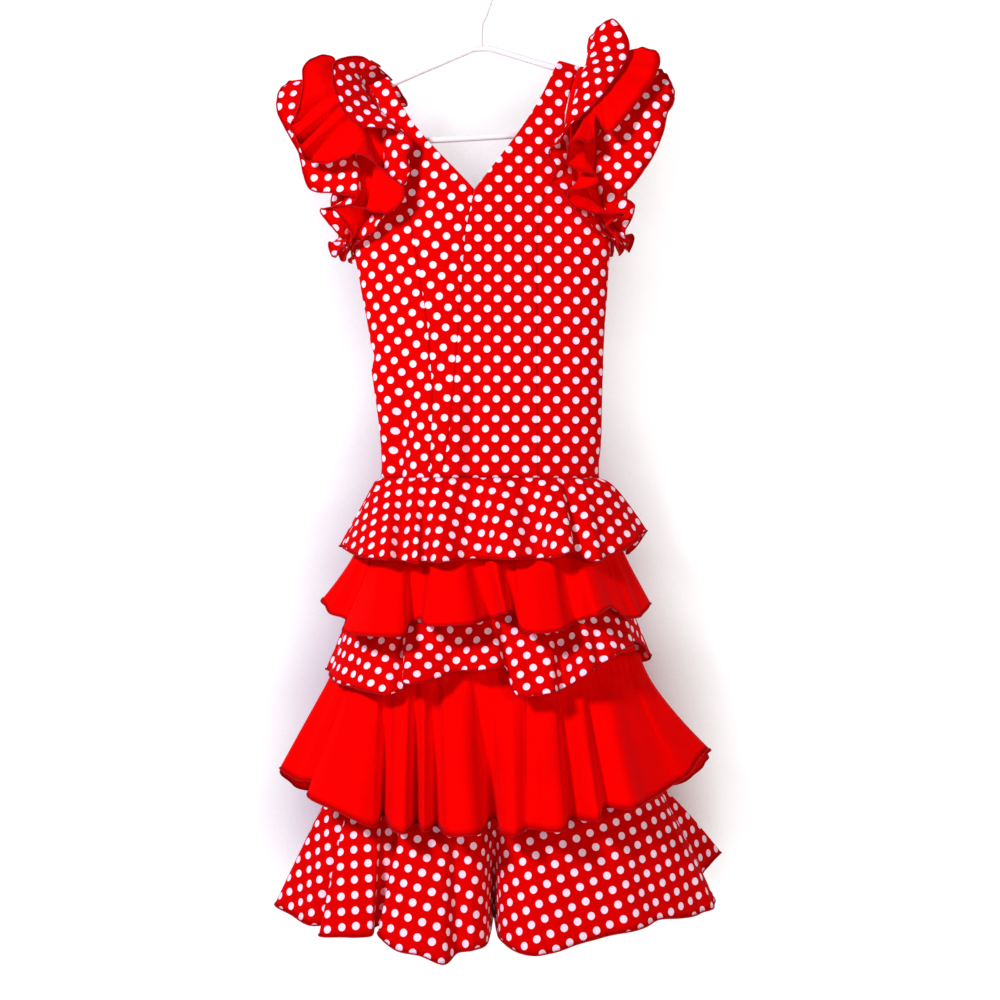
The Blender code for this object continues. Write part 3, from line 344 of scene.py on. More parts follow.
thread = hard_material(
    "spun_polyester_thread", ("A00008", "C4040C"), patches=(1 / THREAD_PLY, 1.0), worn=(0.0, 1.0),
    rough=(0.55, 0.55), grain=(1 / THREAD_PLY, 1.0), relief=(0.3, 0.0001), Specular_IOR_Level=0.05)
plastic = hard_material(
    "moulded_white_polypropylene", ("FCFCFB", "F4F3F0"), patches=(18.0, 2.0), worn=(0.0, 1.0),
    rough=(0.28, 0.42), grain=(700.0, 1.0), relief=(0.15, 0.0001), IOR=1.49)
enamel = hard_material(
    "red_enamel_on_zinc", ("B3000B", "6E2A26"), patches=(900.0, 3.0), worn=(0.62, 0.72),
    rough=(0.22, 0.5), grain=(900.0, 3.0), relief=(0.1, 0.00005), Coat_Weight=0.4, Coat_Roughness=0.12)
print("materials:", ", ".join(m.name for m in bpy.data.materials if "Material_" not in m.name))


# %% [markdown]
# ## The dress in tables
#
# All sizes are in millimetres, with heights measured down from the hook. The body is a stack of ovals; a
# seam is a row of points; a flounce is a row of crests and valleys, each with its place at the seam and
# at the hem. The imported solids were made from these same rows, so the sheets made here lie on them.

# %% Body, seams and folds
# Cloth
WALL = 1.5                # thickness of the solids' sheets; the cloth made here shares their outer face
SEAM_GAP = 0.3            # clear space between two pieces at a seam
OVER = 2.3                # how far a flounce's top edge stands outside the cloth that it is sewn on

# Heights of the seams and edges
HIP_SEAM = -752.0
BACK_V_POINT = -352.0
UNDERARM = -402.0
STRAP_START = -10.0       # degrees round the armhole where the strap begins
SKIRT_END = -1189.0

# Hanger
TUBE_RADIUS = 4.5
ARM_SLOPE = math.tan(math.radians(20.0))
ARM_PEAK = -106.0         # height where the two arms would meet over the middle
BAR_HEIGHT = -248.0
BAR_HALF = 186.0
END_RADIUS = 33.0
HOOK_RADIUS = 24.5
HOOK_WIRE = 3.0
BAR_MIDDLE = 75.0         # the bar's route has two more points this far from its middle
ARM_SHARES = (0.66, 0.33, 0.06)   # points along an arm, as shares of the way from its middle
HOOK_STEM = ((0.0, -6.0), (0.0, 14.0), (1.0, 26.0), (6.0, 36.0))   # x, and height over the arms' peak
HOOK_START = -48.0        # degrees; the hook's arc runs on from here
HOOK_SWEEP = 252.0

# Shoulders and armholes. Both straps lie a little towards the wearer's right side on the hanger.
NECK_POINT = 126.0        # half the distance between the straps' neck edges
SHOULDER_POINT = 157.0    # half the distance between the straps' sleeve edges
SHOULDER_SHIFT = -11.0
STRAP_CLEAR = 0.6
ARMHOLE_IN = 128.0        # half the distance across the chest between the armholes
ARMHOLE_SCOOP = 2.2       # the armhole's lower half turns out to the underarm as this power of the way down
NECK_BOW_LEAN = 1.2       # above 1, the neck edge bows most above its middle
NECK_BOW = {-1: 16.0, 1: 12.0}   # how far the neck edges of the right and left straps bow out
ARMHOLE_TOP = ARM_PEAK - ARM_SLOPE * SHOULDER_POINT + TUBE_RADIUS + STRAP_CLEAR + WALL
ARMHOLE_MIDDLE = (ARMHOLE_TOP + UNDERARM) / 2
ARMHOLE_HALF = (ARMHOLE_TOP - UNDERARM) / 2

# The dress hangs a little out of level: the wearer's left shoulder is the higher one.
HANG_TILT = 0.065
TILT_END = -590.0
TILT_START = -150.0

ROUNDNESS = 2.25          # exponent of the body's oval sections, 2 for an ellipse


def table(kind, *rows):
    return tuple(kind(*row) for row in rows)


Section = namedtuple("Section", "height right left front back")
BODY = (
    Section(-100, -191, 191, 16, 14),
    Section(-200, -191, 191, 30, 24),
    Section(-260, -191, 191, 38, 28),
    Section(-334, -191, 191, 45, 32),
    Section(-408, -190, 192, 49, 34),
    Section(-444, -182, 189, 49, 34),
    Section(-481, -176, 187, 47, 34),
    Section(-518, -169, 184, 45, 34),
    Section(-555, -163, 182, 43, 35),
    Section(-573, -158, 181, 42, 36),
    Section(-589, -162, 181, 42, 37),
    Section(-607, -160, 180, 43, 39),
    Section(-651, -154, 179, 48, 44),
    Section(-695, -149, 178, 57, 51),
    Section(-752, -149, 175, 68, 60),
    Section(-830, -170, 193, 80, 68),
    Section(-925, -188, 212, 90, 75),
    Section(-1006, -199, 228, 98, 80),
    Section(-1100, -203, 236, 102, 84),
    Section(-1230, -207, 243, 106, 87),
)

# Soft folds that run down the body to the hip seam
Crease = namedtuple("Crease", "side top_x top_height end_x end_height width depth")
CREASES = (
    Crease("front", -99, -560, -127, -752, 20, 13),
    Crease("front", -5, -570, -15, -752, 18, 12),
    Crease("back", -70, -520, -84, -752, 22, 12),
    Crease("back", 44, -540, 60, -752, 20, 13),
    Crease("back", 116, -600, 128, -752, 18, 9),
)
CREASE_EASE = 0.45        # share of a fold's depth that is left where it meets the hip seam
CREASE_FADE = 60.0        # the folds die out this far below the hip seam

Seam = namedtuple("Seam", "height x")
CENTRE_FRONT = table(Seam,
    (-334, -9), (-394, -22), (-445, -26), (-502, -30), (-560, -34), (-625, -39), (-697, -47), (-752, -56))
PRINCESS_RIGHT = table(Seam,
    (-325, -113), (-357, -105), (-394, -99), (-423, -92), (-480, -85), (-524, -78), (-582, -73),
    (-640, -70), (-752, -73))
PRINCESS_LEFT = table(Seam,
    (-325, 101), (-357, 87), (-408, 82), (-604, 82), (-752, 83))
CENTRE_BACK = table(Seam,
    (-352, -4), (-550, 2), (-752, 12))
BACK_PRINCESS_RIGHT = table(Seam,
    (-340, -112), (-420, -96), (-580, -82), (-752, -78))
BACK_PRINCESS_LEFT = table(Seam,
    (-340, 108), (-420, 98), (-580, 90), (-752, 92))
SEAM_SPREAD = 40.0        # height over which a princess seam swings out to the armhole

SIDE_GAP = 0.14           # half the gap at a side seam, in degrees round the body
STRAP_SPREAD = 0.8        # how fast front and back part below the shoulder

# %% [markdown]
# ## The flounces' folds
#
# A flounce is longer at its hem than at its seam, and the extra cloth stands out in folds. A cloth
# simulation would let them fall anywhere; a table puts each where it hangs on the real dress. Each row is
# one line of the folds, a crest or a valley: where it leaves the seam, where it stands at the hem, and how
# far the hem hangs below the seam there. The rows run from the wearer's right side across the front to the
# left side. The back's folds follow a rule.

# %% Folds of the flounces
Fold = namedtuple("Fold", "seam_x hem_x hem_y drop")
FLOUNCE_1 = table(Fold,
    (-147, -205, -15, 99), (-141, -176, -75, 111), (-128, -132, -122, 115), (-114, -111, -104, 117),
    (-97, -87, -128, 120), (-78, -78, -112, 118), (-61, -53, -134, 118), (-26, -17, -106, 115),
    (-3, 6, -104, 114), (15, 24, -126, 114), (40, 47, -130, 114), (63, 83, -108, 114),
    (88, 105, -134, 111), (108, 129, -130, 103), (119, 136, -100, 110), (136, 163, -114, 118),
    (149, 181, -88, 110), (160, 208, -72, 101), (173, 244, -15, 77))
FLOUNCE_2 = table(Fold,
    (-169, -233, -20, 98), (-160, -215, -55, 118), (-148, -190, -75, 124), (-142, -191, -112, 139),
    (-133, -151, -160, 139), (-113, -104, -158, 139), (-101, -100, -114, 130), (-80, -83, -114, 119),
    (-64, -73, -160, 125), (-48, -36, -180, 123), (-32, -4, -166, 121), (-14, 8, -115, 120),
    (0, 24, -116, 117), (14, 36, -166, 108), (30, 47, -120, 111), (48, 58, -160, 131),
    (72, 78, -174, 134), (97, 112, -166, 131), (114, 137, -112, 123), (136, 163, -150, 111),
    (154, 185, -104, 105), (167, 209, -86, 122), (184, 235, -48, 119), (191, 249, -12, 106))
FLOUNCE_3 = table(Fold,
    (-186, -222, -25, 110), (-178, -207, -72, 119), (-163, -167, -118, 123), (-141, -127, -140, 128),
    (-120, -106, -124, 121), (-101, -106, -152, 108), (-80, -94, -162, 110), (-51, -58, -150, 104),
    (-26, -34, -128, 96), (-3, -5, -148, 94), (14, 27, -150, 89), (26, 36, -128, 94), (42, 46, -146, 122),
    (57, 61, -158, 128), (93, 100, -160, 122), (108, 115, -132, 121), (131, 144, -154, 100),
    (157, 167, -128, 88), (178, 184, -122, 78), (196, 209, -86, 69), (207, 228, -40, 65),
    (210, 253, 25, 92), (204, 249, 48, 103))
FLOUNCE_4 = table(Fold,
    (-197, -295, -25, 170), (-189, -265, -60, 179), (-182, -237, -85, 179), (-178, -243, -112, 191),
    (-169, -215, -135, 199), (-156, -175, -172, 208), (-142, -143, -168, 222), (-131, -134, -122, 215),
    (-117, -118, -180, 223), (-102, -99, -194, 224), (-91, -87, -142, 222), (-80, -74, -190, 223),
    (-67, -60, -142, 226), (-53, -42, -196, 227), (-36, -14, -204, 224), (-22, 4, -186, 224),
    (-6, 13, -128, 222), (6, 23, -124, 222), (24, 30, -172, 230), (42, 47, -198, 227),
    (65, 65, -178, 222), (84, 91, -200, 220), (102, 116, -196, 218), (112, 125, -146, 216),
    (137, 160, -192, 208), (149, 174, -142, 201), (175, 207, -170, 197), (196, 245, -112, 193),
    (212, 292, -65, 175), (225, 334, -12, 145), (225, 340, 45, 172), (216, 330, 76, 197),
    (204, 294, 102, 222))
FLOUNCE_5 = table(Fold,
    (-204, -301, -30, 182), (-198, -269, -70, 187), (-191, -238, -100, 192), (-183, -209, -108, 190),
    (-179, -221, -134, 195), (-163, -184, -152, 192), (-141, -149, -150, 191), (-129, -145, -118, 188),
    (-108, -130, -116, 189), (-94, -139, -148, 189), (-81, -113, -172, 203), (-67, -80, -182, 207),
    (-50, -48, -184, 219), (-34, -30, -148, 214), (-19, -9, -154, 209), (-3, 8, -136, 209),
    (9, 14, -98, 204), (18, 19, -60, 190), (28, 24, -100, 200), (37, 29, -132, 202), (51, 49, -160, 208),
    (74, 78, -178, 209), (97, 100, -172, 206), (129, 148, -160, 195), (157, 195, -146, 188),
    (175, 230, -132, 185), (184, 255, -108, 181), (207, 302, -75, 187), (234, 342, -30, 182),
    (238, 331, 30, 160), (232, 369, 85, 138), (222, 318, 98, 190))

# The back of each flounce: pairs of crests and valleys, evenly shared out and then varied. The numbers say
# how far they stand outside the body, out at the sides and across the back.
Flounce = namedtuple("Flounce", "name seam front_folds back_pairs crest valley beside drop "
                                "opens_right opens_left")
FLOUNCES = (
    Flounce("flounce_1_dotted", -752.4, FLOUNCE_1, 7, 46, 24, 20, 108, 0.93, 0.7),
    Flounce("flounce_2_plain", -830, FLOUNCE_2, 6, 54, 26, 26, 126, 1.35, 1.05),
    Flounce("flounce_3_dotted", -925, FLOUNCE_3, 6, 52, 26, 16, 112, 1.3, 0.9),
    Flounce("flounce_4_plain", -1006, FLOUNCE_4, 6, 64, 24, 74, 220, 0.97, 1.38),
    Flounce("flounce_5_dotted", -1190, FLOUNCE_5, 6, 70, 16, 84, 203, 0.9, 0.78),
)
BACK_SWING = 0.24         # share by which the back's folds differ from each other
BACK_TURN = 2.3           # radians from one fold's difference to the next
BACK_SHIFT = 0.22         # of a fold's share of the way, that it moves sideways
BACK_DROP = 0.03          # share by which their drops differ
BESIDE_FADE = 0.6         # the sides' reach turns into the back's as this power of the sine
VALLEY_HOLD = 0.4         # the deepest valleys keep near the body further down than the crests do
VALLEY_DEEP = 30.0

# %% [markdown]
# ## The sleeves' folds
#
# A ruffle is gathered on the sleeve cap's seam and its edge falls in folds like petals. Each row is one
# line of a fold, from its place on the seam (0 is the front, 90 the shoulder, 180 the back) to where it
# stands at the edge. The rows run from the underarm up the front and over the shoulder; the back's folds
# are evenly shared out.

# %% Caps and folds of the sleeves
CAP_TOP = 75.0
CAP_UNDER = 12.0
CAP_TAPER = 0.12          # the cap's edge is this much flatter than the armhole
CAP_DROOP = 0.10          # and this share of its length lower at the shoulder
CAP_SWELL = 0.8           # the cap lengthens towards the shoulder as this power of the way up

Petal = namedtuple("Petal", "place hem_x hem_height hem_y")
RIGHT_INNER = table(Petal,
    (-80, -185, -414, -30), (-63, -153, -396, -54), (-48, -135, -369, -64), (-34, -120, -348, -58),
    (-20, -108, -331, -68), (-6, -100, -311, -60), (8, -106, -294, -68), (22, -98, -273, -60),
    (36, -115, -256, -66), (49, -185, -244, -80), (62, -213, -164, -58), (74, -181, -140, -38),
    (86, -148, -149, -20), (96, -162, -134, 6), (105, -132, -155, 36), (113, -113, -188, 46),
    (122, -149, -174, 62))
RIGHT_MIDDLE = table(Petal,
    (-80, -192, -413, -30), (-68, -185, -401, -52), (-57, -197, -384, -62), (-48, -209, -363, -62),
    (-38, -168, -369, -78), (-29, -137, -376, -76), (-20, -115, -362, -72), (-12, -108, -343, -80),
    (-5, -125, -327, -88), (2, -147, -310, -92), (9, -170, -295, -90), (16, -193, -299, -84),
    (23, -222, -305, -76), (30, -250, -297, -64), (37, -253, -288, -84), (43, -262, -271, -56),
    (49, -262, -267, -80), (55, -274, -248, -56), (62, -261, -226, -66), (70, -257, -186, -46),
    (78, -257, -152, -32), (88, -234, -130, -12), (98, -215, -134, 6))
RIGHT_OUTER = table(Petal,
    (-80, -206, -413, -14), (-68, -196, -411, -34), (-57, -214, -390, -42), (-46, -222, -381, -44),
    (-36, -232, -365, -44), (-26, -216, -363, -52), (-16, -189, -361, -60), (-6, -178, -352, -64),
    (3, -205, -343, -56), (12, -244, -336, -44), (22, -256, -314, -42), (32, -263, -283, -40),
    (42, -274, -262, -38), (52, -285, -242, -40), (62, -296, -217, -34), (72, -295, -188, -24),
    (82, -281, -168, -8), (92, -261, -167, 6), (102, -277, -174, 22))
LEFT_INNER = table(Petal,
    (-80, 193, -405, -26), (-63, 155, -387, -54), (-48, 134, -365, -60), (-34, 121, -347, -68),
    (-20, 103, -328, -60), (-8, 109, -311, -72), (4, 98, -287, -64), (15, 111, -274, -74),
    (25, 126, -251, -64), (35, 146, -232, -60), (45, 167, -212, -60), (54, 189, -183, -56),
    (63, 211, -146, -40), (71, 215, -112, -26), (79, 195, -80, -18), (88, 173, -87, -4),
    (97, 159, -105, 12), (106, 163, -126, 32))
LEFT_MIDDLE = table(Petal,
    (-80, 200, -411, -28), (-68, 200, -401, -50), (-56, 180, -392, -64), (-45, 206, -374, -62),
    (-35, 174, -376, -72), (-27, 133, -366, -76), (-18, 125, -347, -80), (-10, 159, -339, -84),
    (-3, 165, -327, -92), (6, 124, -309, -88), (16, 131, -277, -96), (25, 160, -277, -86),
    (34, 165, -235, -66), (44, 183, -262, -80), (54, 219, -222, -70), (64, 253, -170, -52),
    (74, 258, -136, -36), (84, 234, -123, -22), (94, 220, -128, -2), (104, 240, -137, 16))
LEFT_OUTER = table(Petal,
    (-80, 213, -411, -14), (-67, 216, -408, -34), (-55, 208, -398, -44), (-43, 219, -375, -46),
    (-31, 222, -356, -42), (-20, 206, -345, -48), (-9, 219, -331, -50), (3, 234, -311, -56),
    (15, 250, -286, -52), (27, 263, -254, -56), (39, 269, -227, -50), (50, 279, -209, -40),
    (60, 281, -187, -32), (70, 271, -160, -20), (80, 260, -150, -6), (90, 269, -166, 8),
    (100, 256, -170, 26))
Ruffle = namedtuple("Ruffle", "name side along back_turn petals")
RUFFLES = (
    Ruffle("ruffle_right_inner_dotted", -1, 0.12, 76, RIGHT_INNER),
    Ruffle("ruffle_right_middle_plain", -1, 0.5, 54, RIGHT_MIDDLE),
    Ruffle("ruffle_right_outer_dotted", -1, 0.95, 30, RIGHT_OUTER),
    Ruffle("ruffle_left_inner_dotted", 1, 0.12, 76, LEFT_INNER),
    Ruffle("ruffle_left_middle_plain", 1, 0.5, 54, LEFT_MIDDLE),
    Ruffle("ruffle_left_outer_dotted", 1, 0.95, 30, LEFT_OUTER),
)
RUFFLE_OVER = 3.0         # how far a ruffle's seam stands outside the cap
RUFFLE_RISE = 0.45        # share of its width that the cloth stands straight up before it bends to its edge
RUFFLE_RISE_MOST = 20.0
RUFFLE_UPRIGHT = 1.5      # away from the shoulder it stands up less, by this power of its place's sine
BACK_PETALS = 8
BACK_REACH = 54.0
BACK_REACH_UNDER = 18.0   # narrower where it nears the underarm
BACK_FADE = 80.0          # over this many degrees
BACK_TURN_SWING = 14.0    # degrees that the back's folds swing in and out

# %% [markdown]
# ## The form that the cloth hangs in
#
# One function gives the body's oval at any height, and one gives a point on it. The shoulders wrap over
# the hanger's arms. The last step hangs everything a little out of level, as the real dress does.

# %% Body and shoulders
RIGHT_SIDE, LEFT_SIDE, RIGHT_AGAIN = 180.0, 360.0, 540.0   # degrees round the body, across the front first


def mix(a, b, share):
    return a + (b - a) * share


def smooth(share):
    """Ease from 0 to 1."""
    share = min(max(share, 0.0), 1.0)
    return share * share * (3.0 - 2.0 * share)


def spline(a, b, c, d, share):
    """A smooth curve's value between b and c, with a and d as their neighbours."""
    return b + 0.5 * share * (c - a + share * (2 * a - 5 * b + 4 * c - d + share * (3 * (b - c) + d - a)))


def seam_x(seam, height):
    """Where a seam stands across the dress at this height."""
    if height >= seam[0].height:
        return seam[0].x
    for upper, lower in zip(seam, seam[1:]):
        if height >= lower.height:
            return mix(upper.x, lower.x, (upper.height - height) / (upper.height - lower.height))
    return seam[-1].x


@lru_cache(maxsize=None)
def section_at(height):
    """The body's oval at this height, read smoothly between the table's rows."""
    last = len(BODY) - 1
    row = 0
    while row < last - 1 and height < BODY[row + 1].height:
        row += 1
    upper, lower = BODY[row], BODY[row + 1]
    share = (upper.height - height) / (upper.height - lower.height)
    share = min(max(share, 0.0), 1.0)
    before, after = BODY[max(row - 1, 0)], BODY[min(row + 2, last)]
    values = [spline(a, b, c, d, share) for a, b, c, d in zip(before, upper, lower, after)]
    return Section(height, *values[1:])


def crease_depth(is_front, x, height, narrow=1.0):
    """How far the folds in the body draw the cloth in at this place."""
    depth = 0.0
    for crease in CREASES:
        if (crease.side == "front") != is_front:
            continue
        along = (crease.top_height - height) / (crease.top_height - crease.end_height)
        middle = mix(crease.top_x, crease.end_x, min(max(along, 0.0), 1.0))
        fade = 1.0 - (1.0 - CREASE_EASE) * smooth(2.0 * along - 1.0)
        fade *= 1.0 - smooth((crease.end_height - height) / CREASE_FADE)
        near = math.exp(-((x - middle) / (crease.width * narrow)) ** 2)
        depth += crease.depth * smooth(along) * fade * near
    return depth


def angle_at(x, height, is_front):
    """The place round the body in degrees: 180 the right side, 270 the front, 360 the left and 450 back."""
    section = section_at(height)
    middle = (section.right + section.left) / 2
    half = (section.left - section.right) / 2
    across = min(max((x - middle) / half, -1.0), 1.0)
    turn = math.degrees(math.acos(math.copysign(abs(across) ** (ROUNDNESS / 2), across)))
    return LEFT_SIDE - turn if is_front else LEFT_SIDE + turn


def body_point(angle, height, out=0.0):
    """A point on the body's surface, or `out` millimetres outside it, as x and y."""
    section = section_at(height)
    middle = (section.right + section.left) / 2
    half = (section.left - section.right) / 2
    cosine, sine = math.cos(math.radians(angle)), math.sin(math.radians(angle))
    is_front = sine < 0.0
    depth = section.front if is_front else section.back
    across = math.copysign(abs(cosine) ** (2 / ROUNDNESS), cosine)
    along = math.copysign(abs(sine) ** (2 / ROUNDNESS), sine)
    normal = Vector((math.copysign(abs(across) ** (ROUNDNESS - 1), across) / half,
                     math.copysign(abs(along) ** (ROUNDNESS - 1), along) / depth))
    normal.normalize()
    x = middle + half * across
    out -= crease_depth(is_front, x, height) * smooth(abs(sine) * 2)
    return x + normal.x * out, depth * along + normal.y * out


def hang(x, y, height):
    """The point in metres, with the small tilt that the shoulders hang at."""
    weight = smooth((height - TILT_END) / (TILT_START - TILT_END))
    return Vector((x, y, height + HANG_TILT * weight * x)) * MM


def shoulder_top(x):
    """The height of a strap's outer face where it passes over the hanger's arm."""
    return ARM_PEAK - ARM_SLOPE * abs(x) + TUBE_RADIUS + STRAP_CLEAR + WALL


def bodice_point(x, height, is_front, inside=0.0):
    """A point on the bodice's outer face, or `inside` millimetres within it.

    Near the shoulder the cloth wraps over the hanger's arm.
    """
    flat_x, flat_y = body_point(angle_at(x, height, is_front), height, -inside)
    sign = -1.0 if is_front else 1.0
    radius = TUBE_RADIUS + STRAP_CLEAR + WALL
    below = max(shoulder_top(x) - height, 0.0)
    if below < radius:
        shrink = (radius - inside) / radius
        height = shoulder_top(x) - inside - below * shrink
        wrap = math.sqrt(below * (2 * radius - below)) * shrink
    else:
        wrap = radius + STRAP_SPREAD * (below - radius) - inside
    if wrap < abs(flat_y):
        return hang(x, sign * max(wrap, SEAM_GAP / 2), height)
    return hang(flat_x, flat_y, height)


def armhole_height(place):
    return ARMHOLE_MIDDLE + ARMHOLE_HALF * math.sin(math.radians(place))


def armhole_x(side, height):
    """Where the armhole's edge stands across the dress at this height."""
    share = (height - ARMHOLE_MIDDLE) / ARMHOLE_HALF
    shift = SHOULDER_SHIFT * (1.0 + share) / 2
    if share > 0.0:
        return side * mix(ARMHOLE_IN, SHOULDER_POINT, share ** 2) + shift
    underarm = section_at(UNDERARM)
    edge = underarm.left if side > 0 else underarm.right
    return mix(side * ARMHOLE_IN, edge, abs(share) ** ARMHOLE_SCOOP) + shift


def princess_x(seam, side, height):
    """Where a princess seam stands at this height; its top swings out to the armhole's edge."""
    top = armhole_height(STRAP_START)
    swing = smooth(1.0 - (top - height) / SEAM_SPREAD)
    return mix(seam_x(seam, height), armhole_x(side, top), swing)

# %% [markdown]
# ## From rows of points to a sheet of cloth
#
# A sheet is a grid of points with three things on it: a flat cut for its UV map, an edge value that marks
# the doubled cloth at seams and hems, together with painted shade in the seams' valleys and under the
# turned hems, and a wall given by Solidify. The flat cut of a flounce is found as a pattern maker would:
# the strip between its seam and its hem is unrolled into the plane, one triangle after another, with
# every length kept. So the dots have their true size everywhere, and the same cut says how much cloth the
# piece takes.

# %% Sheets of cloth
CLOTH = 0.6                # the crepe and its turned edges
DRESS = "dress"            # the CAD body that every sheet rides on
# Seams and hems get a deeper red: partly the doubled cloth there, partly painted shade in a seam's valley
# and where a hem turns under.
DOUBLED_CLOTH_AND_PAINTED_SHADE = 0.75           # how strongly doubled cloth shows, at a seam or hem
HEM_PAINTED_SHADE_WIDTH = 3.0            # width of the doubled cloth at a hem


def link_mesh(name, mesh):
    made = bpy.data.objects.new(name, mesh)
    bpy.context.scene.collection.objects.link(made)
    return made


def settled(source):
    """The object with its modifiers turned into plain mesh, under the same name."""
    name = source.name
    shape = bpy.data.meshes.new_from_object(source.evaluated_get(bpy.context.evaluated_depsgraph_get()))
    bpy.data.objects.remove(source)
    shape.name = name
    return link_mesh(name, shape)


def backwards(*grids):
    """The same rows, each from its other end."""
    return [[row[::-1] for row in grid] for grid in grids]


def cloth(source, grid, cut, edge, ring, dotted):
    """A thin closed sheet in place of a CAD piece, through rows of points.

    The lowest row comes first, and each runs anticlockwise as seen from above.
    """
    name = source + "_cloth"
    columns = len(grid[0])
    steps = columns if ring else columns - 1
    mesh = bpy.data.meshes.new(name)
    faces, places = [], []
    for row in range(len(grid) - 1):
        for column in range(steps):
            beside = (column + 1) % columns
            faces.append((row * columns + column, row * columns + beside,
                          (row + 1) * columns + beside, (row + 1) * columns + column))
            low, high = cut[row], cut[row + 1]
            places += [low[column], low[column + 1], high[column + 1], high[column]]
    mesh.from_pydata([point for row in grid for point in row], [], faces)
    flat = mesh.uv_layers.new(name="cut")
    flat.data.foreach_set("uv", [value * MM for place in places for value in place])
    # The edge value: doubled cloth at seams and hems, together with painted shade in the seams' valleys and
    # under the turned hems.
    deeper_red_with_painted_shade = mesh.attributes.new("edge", "FLOAT", "POINT")
    deeper_red_with_painted_shade.data.foreach_set("value", [value for row in edge for value in row])
    mesh.materials.append(dotted_crepe if dotted else plain_crepe)
    mesh.shade_smooth()
    sheet = link_mesh(name, mesh)
    thick = sheet.modifiers.new("wall", "SOLIDIFY")
    thick.thickness = CLOTH * MM
    thick.offset = -1.0
    thick.use_even_offset = False
    bpy.context.view_layer.update()
    sheet = settled(sheet)
    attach(sheet, DRESS)
    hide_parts(source)
    return sheet


gap = math.dist


def unrolled(low, high, deep):
    """The flat cut of a strip between two rows of points: its lower and upper edges, in millimetres.

    `deep` is the cloth's own length down each column, which is more than the straight line where it bends.
    """
    flat_high = [(0.0, 0.0)]
    flat_low = [(0.0, -deep[0])]

    def apex(a, b, from_a, from_b):
        """The point to the right of the line from a up to b, at these two distances."""
        across, up = b[0] - a[0], b[1] - a[1]
        base = math.hypot(across, up)
        along = (from_a ** 2 - from_b ** 2 + base ** 2) / (2 * base)
        off = math.sqrt(max(from_a ** 2 - along ** 2, 0.0))
        return (a[0] + (across * along + up * off) / base, a[1] + (up * along - across * off) / base)

    for i in range(len(low) - 1):
        a, b = flat_low[-1], flat_high[-1]
        bend = deep[i] / gap(low[i], high[i])
        b_next = apex(a, b, gap(low[i], high[i + 1]) * bend, gap(high[i], high[i + 1]) / MM)
        a_next = apex(a, b_next, gap(low[i], low[i + 1]) / MM, deep[i + 1])
        flat_high.append(b_next)
        flat_low.append(a_next)
    return flat_low, flat_high


def turned(place, degrees):
    cosine, sine = math.cos(math.radians(degrees)), math.sin(math.radians(degrees))
    return (place[0] * cosine - place[1] * sine, place[0] * sine + place[1] * cosine)


def strip_cut(rows, grain):
    """UV rows for a strip from its rows of points, seam first, unrolled by the cloth's own lengths."""
    reach = []
    for column in zip(*rows):
        far = [0.0]
        for above, below in zip(column, column[1:]):
            far.append(far[-1] + gap(above, below) / MM)
        reach.append(far)
    flat_low, flat_high = unrolled(rows[-1], rows[0], [far[-1] for far in reach])
    cut = []
    for number in range(len(rows)):
        row = []
        for far, foot, top in zip(reach, flat_low, flat_high):
            down = far[number] / far[-1]
            row.append(turned((mix(top[0], foot[0], down), mix(top[1], foot[1], down)), grain))
        cut.append(row)
    return cut


def length_of(points):
    return sum(gap(a, b) for a, b in zip(points, points[1:]))


def hem_doubling_and_painted_shade(down, deep):
    """How strongly a hem's doubled cloth and painted shade show: `down` is 1 at the hem, the sheet `deep`
    there.
    """
    return DOUBLED_CLOTH_AND_PAINTED_SHADE * (1.0 - smooth((1.0 - down) * deep / HEM_PAINTED_SHADE_WIDTH))


# %% [markdown]
# ## Hems along a path
#
# A rolled hem is a cord of cloth with thread wound over it, so Geometry Nodes can make every one of them
# from its line: the line is resampled at the stitch's spacing, a round profile is swept along it, and one
# small slanted loop of thread is placed at every step.

# %% The hem's node tree
HEM_RADIUS = 1.15
HEM_SPACING = 3.0          # real overlock stitches are 1.5 mm apart; these are drawn twice as coarse
LOOP_SLANT = 24.0
CORD_SIDES, LOOP_SIDES, PLY_SIDES = 6, 6, 3


